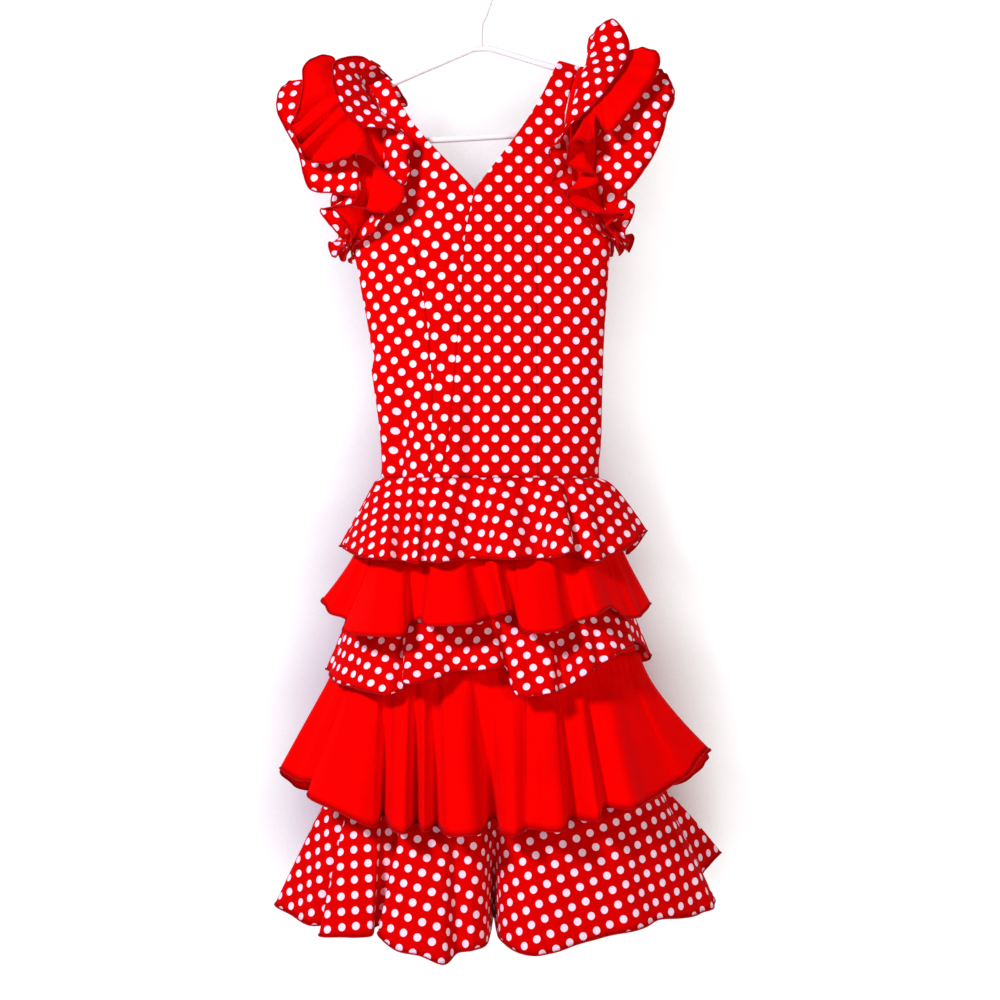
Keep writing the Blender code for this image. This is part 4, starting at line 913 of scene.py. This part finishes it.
def seam_tree():
    """Geometry Nodes: a cord along a line, and a loop of thread at every step of it."""
    tree = bpy.data.node_groups.new("overlocked_edge", "GeometryNodeTree")
    face = tree.interface
    face.new_socket("Line", in_out="INPUT", socket_type="NodeSocketGeometry")
    for name in ("Cord radius", "Step", "Loop radius", "Thread radius"):
        face.new_socket(name, in_out="INPUT", socket_type="NodeSocketFloat")
    face.new_socket("Thread", in_out="INPUT", socket_type="NodeSocketMaterial")
    face.new_socket("Edge", in_out="OUTPUT", socket_type="NodeSocketGeometry")
    given = tree.nodes.new("NodeGroupInput").outputs
    line = node(tree, "GeometryNodeMeshToCurve", {"Mesh": given["Line"]})
    even = node(tree, "GeometryNodeResampleCurve", {"Curve": line.outputs[0], "Length": given["Step"]},
                {"mode": "LENGTH"})
    profile = node(tree, "GeometryNodeCurvePrimitiveCircle", {"Radius": given["Cord radius"]},
                   Resolution=CORD_SIDES)
    cord = node(tree, "GeometryNodeCurveToMesh",
                {"Curve": even.outputs[0], "Profile Curve": profile.outputs[0]}, Fill_Caps=True)
    steps = node(tree, "GeometryNodeCurveToPoints", {"Curve": even.outputs[0]}, {"mode": "EVALUATED"})
    loop = node(tree, "GeometryNodeCurvePrimitiveCircle", {"Radius": given["Loop radius"]},
                Resolution=LOOP_SIDES)
    slanted = node(tree, "GeometryNodeTransform", {"Geometry": loop.outputs[0]},
                   Rotation=(math.radians(LOOP_SLANT), 0.0, 0.0))
    ply = node(tree, "GeometryNodeCurvePrimitiveCircle", {"Radius": given["Thread radius"]},
               Resolution=PLY_SIDES)
    wound = node(tree, "GeometryNodeCurveToMesh",
                 {"Curve": slanted.outputs[0], "Profile Curve": ply.outputs[0]})
    loops = node(tree, "GeometryNodeInstanceOnPoints", {"Points": steps.outputs["Points"],
                                                        "Instance": wound.outputs[0],
                                                        "Rotation": steps.outputs["Rotation"]})
    real = node(tree, "GeometryNodeRealizeInstances", {"Geometry": loops.outputs[0]})
    both = node(tree, "GeometryNodeJoinGeometry")
    tree.links.new(cord.outputs[0], both.inputs[0])
    tree.links.new(real.outputs[0], both.inputs[0])
    smoothed = node(tree, "GeometryNodeSetShadeSmooth", {"Geometry": both.outputs[0]})
    finished = node(tree, "GeometryNodeSetMaterial", {"Geometry": smoothed.outputs[0],
                                                      "Material": given["Thread"]})
    node(tree, "NodeGroupOutput", {"Edge": finished.outputs[0]})
    return tree


overlock = seam_tree()


def along(name, points, ring, sizes):
    """A sewn edge along a line of points, made by the node tree and then turned into plain mesh."""
    mesh = bpy.data.meshes.new(name)
    count = len(points)
    mesh.from_pydata(points, [(i, (i + 1) % count) for i in range(count if ring else count - 1)], [])
    edge = link_mesh(name, mesh)
    sewn = edge.modifiers.new("sewn", "NODES")
    sewn.node_group = overlock
    given = {socket: size * MM for socket, size in sizes.items()}
    given["Thread"] = thread
    for item in overlock.interface.items_tree:
        if item.name in given:
            sewn[item.identifier] = given[item.name]
    bpy.context.view_layer.update()
    edge = settled(edge)
    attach(edge, DRESS)
    return edge


ROLLED = {"Cord radius": HEM_RADIUS, "Step": HEM_SPACING, "Loop radius": HEM_RADIUS * 1.04,
          "Thread radius": 0.34}

# %% [markdown]
# ## The bodice
#
# Eight panels, each wider towards the hip, with a strap on the four middle ones. Columns are close at the
# panels' edges, because a seam shows as a soft valley: both edges roll in by a millimetre, and the thread
# draws small puckers beside it. The dots of each panel are turned a little, as the cut of each is.

# %% Bodice panels
SEAM_TUCK = 1.0            # how far a panel's edge rolls in
TUCK_WIDTH = 1.1
PUCKER = 0.35              # depth of the puckers beside a seam
PUCKER_STEP = 13.0
PUCKER_WIDTH = 7.0
FINE_GAP = 0.1             # the panels all but meet
PANEL_FINE_ROWS, STRAP_FINE_ROWS, PANEL_FINE_COLUMNS = 64, 30, 30
SIDE_PLACES = (-30.0, -50.0, -70.0, -90.0)   # where a side panel's main columns end on the armhole
MM_PER_DEGREE = 1.8        # round the bodice, about
PINCH_WIDTH, PINCH_DEPTH = 0.6, 1.5   # the narrow fold at the foot of each crease, as shares of its own

Panel = namedtuple("Panel", "name side is_front middle princess grain")
CENTRE_PANELS = (
    Panel("front_centre_right", -1, True, CENTRE_FRONT, PRINCESS_RIGHT, 7.0),
    Panel("front_centre_left", 1, True, CENTRE_FRONT, PRINCESS_LEFT, 0.5),
    Panel("back_centre_right", -1, False, CENTRE_BACK, BACK_PRINCESS_RIGHT, -2.0),
    Panel("back_centre_left", 1, False, CENTRE_BACK, BACK_PRINCESS_LEFT, 2.0),
)
SIDE_PANELS = (
    Panel("front_side_right", -1, True, None, PRINCESS_RIGHT, 11.0),
    Panel("front_side_left", 1, True, None, PRINCESS_LEFT, 0.5),
    Panel("back_side_right", -1, False, None, BACK_PRINCESS_RIGHT, 6.0),
    Panel("back_side_left", 1, False, None, BACK_PRINCESS_LEFT, -6.0),
)


def close_at_edges(columns):
    """Shares from 0 to 1 that lie closer together at both ends."""
    return [0.5 - 0.5 * math.cos(math.pi * column / columns) for column in range(columns + 1)]


def rolled_in(inset, height):
    """How far the cloth lies inside its outer face, this far from a panel's edge."""
    pucker = PUCKER * (0.5 + 0.5 * math.sin(math.tau * height / PUCKER_STEP))
    return SEAM_TUCK * math.exp(-(inset / TUCK_WIDTH) ** 2) + pucker * math.exp(-inset / PUCKER_WIDTH)


def pinched(is_front, x, height):
    """How far the cloth is drawn in at the bottom of a crease."""
    return PINCH_DEPTH * crease_depth(is_front, x, height, PINCH_WIDTH)


# Painted shade in a seam's valley, where both panel edges roll in, together with the doubled cloth there.
def seam_doubling_and_painted_shade(inset):
    return DOUBLED_CLOTH_AND_PAINTED_SHADE * math.exp(-(inset / TUCK_WIDTH) ** 2)


def centre_edges(panel):
    """Each row's ends: x and height at the princess seam or armhole, then at the centre or neckline."""
    point_x, point = panel.middle[0].x, panel.middle[0].height
    neck_x = panel.side * NECK_POINT + SHOULDER_SHIFT
    neck_top = shoulder_top(neck_x)
    strap_start = armhole_height(STRAP_START)
    edges = []
    for step in range(PANEL_FINE_ROWS + 1):
        inner = mix(HIP_SEAM, point, step / PANEL_FINE_ROWS)
        outer = mix(HIP_SEAM, strap_start, step / PANEL_FINE_ROWS)
        outer_x = princess_x(panel.princess, panel.side, outer)
        edges.append((outer_x, outer, seam_x(panel.middle, inner), inner))
    full = ARMHOLE_TOP - strap_start
    for step in range(1, STRAP_FINE_ROWS + 1):
        outer = armhole_height(mix(STRAP_START, 90.0, step / STRAP_FINE_ROWS))
        drop = ARMHOLE_TOP - outer
        inner = neck_top - drop * mix(1.0, (neck_top - point) / full, drop / full)
        share = max((inner - point) / (neck_top - point), 0.0)
        bow = panel.side * NECK_BOW[panel.side] * math.sin(math.pi * min(share, 1.0) ** NECK_BOW_LEAN)
        outer_x = armhole_x(panel.side, outer)
        edges.append((outer_x, shoulder_top(outer_x) - drop, mix(point_x, neck_x, share) + bow, inner))
    return edges


def panel_cut(rows, starts, side, grain):
    """Flat rows of a panel: across by the cloth's own length from each row's start, and up by height."""
    cut = []
    for points, across in zip(rows, starts):
        places = [turned((across, points[0].z / MM), grain)]
        for a, b in zip(points, points[1:]):
            run, rise = gap(a, b) / MM, (b.z - a.z) / MM
            across += side * math.sqrt(max(run ** 2 - rise ** 2, 0.0))
            places.append(turned((across, b.z / MM), grain))
        cut.append(places)
    return cut


def sew_panel(panel, rows, plain, starts, edge):
    """Make the sheet from rows that start at the inner seam, and its cut from `plain` rows, unpinched."""
    cut = panel_cut(plain, starts, panel.side, panel.grain)
    if (panel.side < 0) == panel.is_front:
        rows, cut, edge = backwards(rows, cut, edge)
    sheet = cloth(panel.name, rows, cut, edge, False, True)
    return sheet


def centre_panel(panel):
    shares = close_at_edges(PANEL_FINE_COLUMNS)
    rows, plain, starts, edge = [], [], [], []
    for outer_x, outer, inner_x, inner in centre_edges(panel):
        inner_x += panel.side * FINE_GAP / 2
        outer_x -= panel.side * FINE_GAP / 2
        width = abs(outer_x - inner_x)
        up_hem = abs(inner - HIP_SEAM)
        row, smooth_row, shade = [], [], []
        for share in shares:
            x, height = mix(inner_x, outer_x, share), mix(inner, outer, share)
            inset = min(share, 1.0 - share) * width
            inside = min(rolled_in(inset, height), WALL)
            smooth_row.append(bodice_point(x, height, panel.is_front, inside))
            inside += pinched(panel.is_front, x, height)
            row.append(bodice_point(x, height, panel.is_front, inside))
            shade.append(seam_doubling_and_painted_shade(min(inset, up_hem)))
        rows.append(row)
        plain.append(smooth_row)
        starts.append(inner_x)
        edge.append(shade)
    return sew_panel(panel, rows, plain, starts, edge)


def side_panel(panel):
    """A side panel, read between its five main columns, whose tops lie on the armhole's edge."""
    side, is_front = panel.side, panel.is_front
    seam_angle = LEFT_SIDE if side > 0 else RIGHT_SIDE if is_front else RIGHT_AGAIN
    clear = SIDE_GAP / 2 * (1 if (side < 0) == is_front else -1)
    places = (STRAP_START, *SIDE_PLACES)
    strips = len(SIDE_PLACES)
    shares = close_at_edges(PANEL_FINE_COLUMNS)
    rows, plain, starts, edge = [], [], [], []
    for step in range(PANEL_FINE_ROWS + 1):
        up = step / PANEL_FINE_ROWS
        first = mix(HIP_SEAM, armhole_height(places[0]), up)
        start = angle_at(princess_x(panel.princess, side, first) + side * FINE_GAP / 2, first, is_front)
        main = []
        for number, place in enumerate(places):
            top = armhole_height(place)
            angle = mix(start, seam_angle + clear, number / strips)
            if 0 < number < strips:
                angle = mix(angle, angle_at(armhole_x(side, top), top, is_front), up ** 2)
            main.append((angle, mix(HIP_SEAM, top, up)))
        width = abs(main[-1][0] - main[0][0])
        row, smooth_row, across, shade = [], [], [], []
        for share in shares:
            part = min(int(share * strips), strips - 1)
            angle = mix(main[part][0], main[part + 1][0], share * strips - part)
            height = mix(main[part][1], main[part + 1][1], share * strips - part)
            inset = min(share, 1.0 - share) * width * MM_PER_DEGREE
            x, y = body_point(angle, height, -rolled_in(inset, height))
            smooth_row.append(hang(x, y, height))
            across.append(x)
            inside = rolled_in(inset, height) + pinched(is_front, x, height)
            row.append(hang(*body_point(angle, height, -inside), height))
            shade.append(seam_doubling_and_painted_shade(inset))
        rows.append(row)
        plain.append(smooth_row)
        starts.append(across[0])
        edge.append(shade)
    return sew_panel(panel, rows, plain, starts, edge)


panels = {panel.name: centre_panel(panel) for panel in CENTRE_PANELS}
panels.update({panel.name: side_panel(panel) for panel in SIDE_PANELS})
print(len(panels), "bodice panels,", sum(len(p.data.polygons) for p in panels.values()), "faces")

# %% [markdown]
# ## The skirt
#
# A plain tube from the hip to the last flounce's seam, in two halves, carries the flounces. It could be
# left out, as nothing shows of it from the front, but the flounces are sewn on it and it shows from below.

# %% Skirt tube
SKIRT_FINE_ROWS, SKIRT_FINE_COLUMNS = 24, 96


def skirt_half(name, start, end):
    rows, cut, edge = [], [], []
    top = HIP_SEAM - SEAM_GAP
    for step in range(SKIRT_FINE_ROWS + 1):
        height = mix(SKIRT_END, top, step / SKIRT_FINE_ROWS)
        row = []
        for column in range(SKIRT_FINE_COLUMNS + 1):
            angle = mix(start + SIDE_GAP / 2, end - SIDE_GAP / 2, column / SKIRT_FINE_COLUMNS)
            x, y = body_point(angle, height)
            row.append(hang(x, y, height))
        places = [(0.0, height)]
        for a, b in zip(row, row[1:]):
            places.append((places[-1][0] + gap(a, b) / MM, height))
        rows.append(row)
        cut.append(places)
        edge.append([0.0] * len(row))
    sheet = cloth(name, rows, cut, edge, False, False)
    max(length_of(row) for row in rows)


skirt_half("skirt_front", RIGHT_SIDE, LEFT_SIDE)
skirt_half("skirt_back", LEFT_SIDE, RIGHT_AGAIN)

# %% [markdown]
# ## The flounces
#
# Each is a strip cut in an arc, gathered a little at its seam and free to flare at its hem. Its folds come
# from its table; between them the cloth is a smooth curve through four rows at a time, with small gathers
# just under the seam and faint ripples towards the hem that no table needs to hold.

# %% Flounces
FOLD_STEPS = 12            # columns from one line of a fold to the next
FLOUNCE_FINE_ROWS = 26
ROW_EASE = 1.25            # above 1, rows are closer near the seam
LIE = 0.35                 # how close the gathered edge lies to the cloth under it
LIE_ROOM = 5.0             # it stands off to its full distance this far below the seam
GATHER_STEP = 12.0         # from one small gather to the next
GATHER_DEPTH = 3.2
GATHER_REACH = 55.0        # the gathers die out this far below the seam
GATHER_SWING = 1.4         # radians that they crowd together and part again
CROWDS, SMALL_CROWDS = 5, 9   # times round the flounce
RIPPLES = (23, 37)         # faint ripples round the whole flounce
RIPPLE_DEPTH = 1.3
GRAIN_TURNS = {"flounce_3_dotted": 45.0}   # this one is cut on the bias, so its dots start in level rows


def back_folds(flounce, first_angle):
    """Crests and valleys across the back, as angle, hem x, hem y and drop."""
    count = 2 * flounce.back_pairs
    lines = []
    for number in range(1, count + 1):
        uneven = math.sin(BACK_TURN * number + flounce.seam)
        angle = mix(first_angle, RIGHT_AGAIN, (number + BACK_SHIFT * uneven) / (count + 1))
        out = flounce.valley if number % 2 else flounce.crest
        out *= 1.0 + BACK_SWING * uneven
        out = mix(flounce.beside, out, abs(math.sin(math.radians(angle))) ** BESIDE_FADE)
        drop = flounce.drop * (1.0 - BACK_DROP * uneven)
        lines.append((angle, *body_point(angle, flounce.seam - drop, out), drop))
    return lines


def flounce_ring(flounce):
    """Angle at the seam, hem x, hem y, drop and how far a valley holds near the body, for every column."""
    lines = []
    for fold in flounce.front_folds:
        angle = angle_at(fold.seam_x, flounce.seam, fold.hem_y < 0.0)
        lines.append((angle, fold.hem_x, fold.hem_y, fold.drop))
    lines += back_folds(flounce, lines[-1][0])
    count = len(lines)
    ring = []
    for index in range(count):
        near = []
        for offset in (-1, 0, 1, 2):
            whole, place = divmod(index + offset, count)
            angle, *rest = lines[place]
            near.append((angle + 360.0 * whole, *rest))
        for step in range(FOLD_STEPS):
            line = [spline(a, b, c, d, step / FOLD_STEPS) for a, b, c, d in zip(*near)]
            hollow = abs(near[0][2] + near[3][2]) / 2 - abs(line[2])
            ring.append((*line, 1.0 + VALLEY_HOLD * min(max(hollow / VALLEY_DEEP, 0.0), 1.0)))
    return ring


def flounce_rows(flounce, ring, downs, detail):
    """Rows of points from the hem up to the seam, with `detail` 1 for gathers and ripples, or 0."""
    section = section_at(flounce.seam)
    around = math.pi * (section.left - section.right + section.front + section.back) / 2
    gathers = round(around / GATHER_STEP)
    first = ring[0][0]
    rows = []
    for down in downs:
        row = []
        for angle, hem_x, hem_y, drop, hold in ring:
            below = down * drop
            over = mix(LIE, OVER, smooth(below / LIE_ROOM)) if detail else OVER
            top_x, top_y = body_point(angle, flounce.seam, over)
            far_x, far_y = body_point(angle, flounce.seam, over + 1.0)
            aside = (1.0 + math.cos(math.radians(angle))) / 2
            out = down ** mix(flounce.opens_right, flounce.opens_left, aside)
            turn = math.radians(angle - first)
            crowding = GATHER_SWING * math.sin(CROWDS * turn) + math.sin(SMALL_CROWDS * turn)
            gather = 0.5 + 0.5 * math.sin(gathers * turn + crowding)
            gather *= GATHER_DEPTH * smooth(below / LIE_ROOM) * (1.0 - smooth(below / GATHER_REACH))
            ripple = RIPPLE_DEPTH * down * sum(math.sin(waves * turn + waves) for waves in RIPPLES)
            stand = detail * (gather + ripple)
            x = mix(top_x, hem_x, out) + (far_x - top_x) * stand
            y = mix(top_y, hem_y, out ** hold) + (far_y - top_y) * stand
            row.append(hang(x, y, flounce.seam - below))
        rows.append(row)
    return rows


def flounce_piece(flounce):
    ring = flounce_ring(flounce)
    downs = [(1.0 - row / FLOUNCE_FINE_ROWS) ** ROW_EASE for row in range(FLOUNCE_FINE_ROWS + 1)]
    rows = flounce_rows(flounce, ring, downs, 1)
    plain = flounce_rows(flounce, ring, downs, 0)
    hem, seam = plain[0], plain[-1]
    cut = strip_cut([row + row[:1] for row in plain[::-1]], GRAIN_TURNS.get(flounce.name, 0.0))[::-1]
    edge = [[hem_doubling_and_painted_shade(down, spot[3]) for spot in ring] for down in downs]
    sheet = cloth(flounce.name, rows, cut, edge, True, "dotted" in flounce.name)
    roll = along(flounce.name + "_hem", rows[0], True, ROLLED)
    depth = sum(gap(a, b) for a, b in zip(hem, seam)) / len(hem)
    length_of(hem + hem[:1])


for flounce in FLOUNCES:
    flounce_piece(flounce)

# %% [markdown]
# ## The sleeve caps
#
# Each short sleeve is a plain cap set into the armhole, longest at the shoulder. It is a ring of points
# that is pushed out from the armhole's edge, so it meets the bodice all the way round.

# %% Sleeve caps
CAP_FINE_ROWS, CAP_FINE_COLUMNS = 12, 96
CAP_NEAR = 2.0             # degrees to both sides, for the armhole's direction


def armhole_point(side, place):
    """A point on the armhole's edge, on the bodice's outer face."""
    height = armhole_height(place)
    x = armhole_x(side, height)
    if height > ARMHOLE_MIDDLE:
        height = shoulder_top(x) - (ARMHOLE_TOP - height)
    is_front = math.cos(math.radians(place)) > 0.0
    return bodice_point(x, height, is_front)


@lru_cache(maxsize=None)
def cap_point(side, place, along_cap, out):
    """A point round the sleeve's cap: `place` in degrees, `along_cap` 0 at the armhole and 1 outside."""
    sine = math.sin(math.radians(place))
    length = CAP_UNDER + (CAP_TOP - CAP_UNDER) * ((1.0 + sine) / 2) ** CAP_SWELL
    ahead, behind = armhole_point(side, place + CAP_NEAR), armhole_point(side, place - CAP_NEAR)
    normal = Vector((0.0, behind.z - ahead.z, ahead.y - behind.y)).normalized()
    point = armhole_point(side, place)
    point.y *= 1.0 - CAP_TAPER * along_cap
    point.z -= CAP_DROOP * length * along_cap * max(sine, 0.0) * MM
    point.x += side * (4 * SEAM_GAP + length * along_cap) * MM
    return point + normal * out * MM


def sleeve_cap(name, side):
    downs = [1.0 - row / CAP_FINE_ROWS for row in range(CAP_FINE_ROWS + 1)]
    places = [360.0 * column / CAP_FINE_COLUMNS - 90.0 for column in range(CAP_FINE_COLUMNS)]
    rows = [[cap_point(side, place, 1.0 - down, 0.0) for place in places] for down in downs]
    rings = [row + row[:1] for row in rows]
    cut = strip_cut(rings, 0.0)
    edge = [[hem_doubling_and_painted_shade(1.0 - down, CAP_TOP)] * len(places) for down in downs]
    if side > 0:
        rows, cut, edge = backwards(rows, cut, edge)
    sheet = cloth(name, rows, cut, edge, True, False)
    depth = sum(gap(a, b) for a, b in zip(rings[0], rings[-1])) / len(rings[0])
    length_of(rings[-1])


sleeve_cap("sleeve_cap_right", -1)
sleeve_cap("sleeve_cap_left", 1)

# %% [markdown]
# ## The ruffles
#
# Three ruffles are sewn round each cap: dotted, plain and dotted. A ruffle stands up from its seam and then
# bends over to its edge, fold by fold as its table says. Here it also gets gathers at its seam and a
# flutter along its edge, where the stretched hem has more length than the cloth. Its own join is under
# the arm.

# %% Ruffles
PETAL_FINE_STEPS = 10      # columns from one line of a fold to the next
RUFFLE_FINE_ROWS = 18
RUFFLE_EASE = 1.15         # above 1, rows are closer near the seam
FRILL_STEP = 5.0           # degrees from one small gather to the next, round the armhole
FRILL_DEPTH = 1.3
FRILL_START, FRILL_END = 1 / 8, 1 / 2.2   # shares of the way down where they are full, and where they end
FLUTTERS = (31, 47)        # small waves along the whole edge
FLUTTER_DEPTH = 1.6
RUFFLE_GRAIN = 20.0        # degrees that a ruffle's cut is turned off the straight grain


def back_petals(ruffle):
    """The back of a ruffle: even folds from the shoulder down to the underarm."""
    first, last = ruffle.petals[-1].place, 360.0 + ruffle.petals[0].place
    made = []
    for number in range(1, BACK_PETALS + 1):
        place = mix(first, last, number / (BACK_PETALS + 1))
        turn = math.radians(ruffle.back_turn + BACK_TURN_SWING * (-1) ** number)
        way = Vector((ruffle.side * math.cos(turn), -math.cos(math.radians(place)) * math.sin(turn),
                      math.sin(math.radians(place)) * math.sin(turn)))
        reach = mix(BACK_REACH_UNDER, BACK_REACH, smooth((last - place) / BACK_FADE))
        spot = cap_point(ruffle.side, place, ruffle.along, RUFFLE_OVER) / MM + way * reach
        made.append(Petal(place, spot.x, spot.z, spot.y))
    return made


def ruffle_lines(ruffle):
    """For every column round a ruffle: its place, seam point, control point and edge point."""
    petals = list(ruffle.petals) + back_petals(ruffle)
    lines = []
    for index in range(len(petals)):
        near = []
        for offset in (-1, 0, 1, 2):
            whole, spot = divmod(index + offset, len(petals))
            place, *edge = petals[spot]
            near.append((place + 360.0 * whole, *edge))
        for step in range(PETAL_FINE_STEPS):
            share = step / PETAL_FINE_STEPS
            place, x, height, y = [spline(a, b, c, d, share) for a, b, c, d in zip(*near)]
            start = cap_point(ruffle.side, place, ruffle.along, RUFFLE_OVER)
            hem = Vector((x, y, height)) * MM
            sine = math.sin(math.radians(place))
            upward = sine * abs(sine) ** RUFFLE_UPRIGHT
            straight = Vector((0.0, -math.cos(math.radians(place)), upward)).normalized()
            rise = min((hem - start).length * RUFFLE_RISE, RUFFLE_RISE_MOST * MM)
            lines.append((place, start, start + straight * rise, hem))
    return lines


def ruffle_rows(lines, downs, detail):
    """Rows of points from the seam to the edge; `detail` is 1 with gathers and a fluttering edge, or 0."""
    rows = []
    for down in downs:
        row = []
        for number, (place, start, middle, hem) in enumerate(lines):
            point = start.lerp(middle, down).lerp(middle.lerp(hem, down), down)
            way = (middle - start).normalized()
            beside = lines[(number + 1) % len(lines)][3] - lines[number - 1][3]
            out = beside.cross(hem - middle).normalized()
            frill = FRILL_DEPTH * (0.5 + 0.5 * math.sin(math.radians(360.0 / FRILL_STEP * place)))
            frill *= smooth(down / FRILL_START) * (1.0 - smooth(down / FRILL_END))
            turn = math.tau * number / len(lines)
            flutter = sum(math.sin(waves * turn + waves) for waves in FLUTTERS)
            flutter *= FLUTTER_DEPTH / 2 * down ** 3
            row.append(point + (way * frill + out * flutter) * detail * MM)
        rows.append(row)
    return rows


def ruffle_piece(ruffle):
    lines = ruffle_lines(ruffle)
    downs = [(row / RUFFLE_FINE_ROWS) ** RUFFLE_EASE for row in range(RUFFLE_FINE_ROWS + 1)]
    rows = ruffle_rows(lines, downs, 1)
    plain = ruffle_rows(lines, downs, 0)
    seam, hem = plain[0], plain[-1]
    cut = strip_cut([row + row[:1] for row in plain], RUFFLE_GRAIN * ruffle.side)
    widths = [gap(a, b) / MM for a, b in zip(seam, hem)]
    edge = [[hem_doubling_and_painted_shade(down, width) for width in widths] for down in downs]
    if ruffle.side > 0:
        rows, cut, edge = backwards(rows, cut, edge)
    sheet = cloth(ruffle.name, rows, cut, edge, True, "dotted" in ruffle.name)
    roll = along(ruffle.name + "_hem", rows[-1], True, ROLLED)
    length_of(hem + hem[:1])


for ruffle in RUFFLES:
    ruffle_piece(ruffle)

# %% [markdown]
# ## The zip
#
# The centre-back seam hides a coil zip, of which only the slider and its pull come out. A real coil is
# nylon; here it is the hem's tree again, in the same thread, with a thinner cord and closer loops, sunk
# into the seam.

# %% The zip
COIL_TOP, COIL_END = BACK_V_POINT - 14.0, HIP_SEAM + 8.0
COIL_SUNK = 1.1
COIL_POINTS = 81

coil_heights = [mix(COIL_TOP, COIL_END, step / (COIL_POINTS - 1)) for step in range(COIL_POINTS)]
coil_line = [bodice_point(seam_x(CENTRE_BACK, height), height, False, COIL_SUNK)
             for height in coil_heights]
COILED = {"Cord radius": 0.35, "Step": 1.5, "Loop radius": 0.75, "Thread radius": 0.2}
along("zip_coil", coil_line, False, COILED)

# %% [markdown]
# ## The zip's slider and pull
#
# Both are cast, so their edges are never sharp. They could be modelled again, but the CAD pieces have the
# right shape already: they are copied, a bevel rounds their edges, and weighted normals keep the flat
# faces flat.

# %% Slider and pull
WELD = 0.00001             # metres; closer points are the same point
FLAT_TURN = math.radians(2.0)    # faces that meet at less than this are one flat face
EDGE_TURN = math.radians(40.0)   # and at more than this they meet in an edge, which is rounded
BEVEL_STEPS = 3


def weld(source, target, flatten=False):
    """Write the source mesh to the target with double points joined, and flat faces too if asked."""
    form = bmesh.new()
    form.from_mesh(source)
    bmesh.ops.remove_doubles(form, verts=form.verts, dist=WELD)
    if flatten:
        bmesh.ops.dissolve_limit(form, angle_limit=FLAT_TURN, verts=form.verts, edges=form.edges)
    form.to_mesh(target)
    form.free()


def finish_hard(made, made_of, body, source):
    """Give a hard piece its material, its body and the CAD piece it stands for."""
    made.data.materials.clear()
    made.data.materials.append(made_of)
    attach(made, body)
    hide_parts(source)


def softened(name, source, radius, body):
    """A hard CAD piece copied with its edges rounded, as a casting's are."""
    mesh = bpy.data.meshes.new(name)
    weld(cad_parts[source].data, mesh, True)
    mesh.shade_smooth()
    made = link_mesh(name, mesh)
    round_off = made.modifiers.new("cast_edges", "BEVEL")
    round_off.width = radius * MM
    round_off.segments = BEVEL_STEPS
    round_off.limit_method = "ANGLE"
    round_off.angle_limit = EDGE_TURN
    weighted = made.modifiers.new("flat_faces", "WEIGHTED_NORMAL")
    weighted.keep_sharp = True
    bpy.context.view_layer.update()
    finish_hard(settled(made), enamel, body, source)


softened("zip_slider_cast", "zip_slider", 0.25, DRESS)
softened("zip_pull_cast", "zip_pull", 0.22, "pull")

# %% [markdown]
# ## The hanger
#
# One tube of white plastic, bent to two arms, two round ends and a bar, with a thinner hook moulded into
# its middle. A bevelled curve gives each tube and a Boolean union makes them one piece.

# %% Hanger
TUBE_SMOOTH = 5
END_FINE_STEPS, HOOK_FINE_STEPS = 32, 56


def round_tube(name, points, radius, closed):
    curve = bpy.data.curves.new(name, "CURVE")
    curve.dimensions = "3D"
    curve.bevel_depth = radius * MM
    curve.bevel_resolution = TUBE_SMOOTH
    curve.use_fill_caps = not closed
    route = curve.splines.new("POLY")
    route.points.add(len(points) - 1)
    for spot, point in zip(route.points, points):
        spot.co = (*point, 1.0)
    route.use_cyclic_u = closed
    made = bpy.data.objects.new(name, curve)
    bpy.context.scene.collection.objects.link(made)
    bpy.context.view_layer.update()
    made = settled(made)
    weld(made.data, made.data)
    return made


def frame_route():
    """The hanger's closed tube: round ends, sloping arms and a straight bar."""
    slope = math.atan(ARM_SLOPE)
    centre_x, centre_z = BAR_HALF, BAR_HEIGHT + END_RADIUS
    points = []
    for step in range(END_FINE_STEPS + 1):
        turn = math.radians(-90.0) + step / END_FINE_STEPS * (math.radians(180.0) - slope)
        points.append((centre_x + END_RADIUS * math.cos(turn), centre_z + END_RADIUS * math.sin(turn)))
    end_x, end_z = points[-1]
    lift = end_z + ARM_SLOPE * end_x
    points += [(end_x * share, lift - ARM_SLOPE * end_x * share) for share in ARM_SHARES]
    mirrored = [(-x, z) for x, z in reversed(points)]
    bar = [(-BAR_MIDDLE, BAR_HEIGHT), (BAR_MIDDLE, BAR_HEIGHT)]
    return [hang(x, 0.0, z) for x, z in points + mirrored + bar]


def hook_route():
    """The hook: a short stem that swings into an arc open on one side."""
    centre = -(HOOK_RADIUS - HOOK_WIRE)
    points = [(x, ARM_PEAK + over) for x, over in HOOK_STEM]
    for step in range(HOOK_FINE_STEPS + 1):
        turn = math.radians(HOOK_START + step / HOOK_FINE_STEPS * HOOK_SWEEP)
        points.append((HOOK_RADIUS * math.cos(turn), centre + HOOK_RADIUS * math.sin(turn)))
    return [Vector((x, 0.0, z)) * MM for x, z in points]


hanger = round_tube("hanger_moulding", frame_route(), TUBE_RADIUS, True)
hook = round_tube("hook", hook_route(), HOOK_WIRE, False)
union = hanger.modifiers.new("moulded_in_one", "BOOLEAN")
union.operation, union.solver, union.object = "UNION", "EXACT", hook
bpy.context.view_layer.update()
hanger = settled(hanger)
bpy.data.objects.remove(hook)
hanger.data.shade_smooth()
finish_hard(hanger, plastic, DRESS, "hanger")
print("hanger:", len(hanger.data.polygons), "faces")
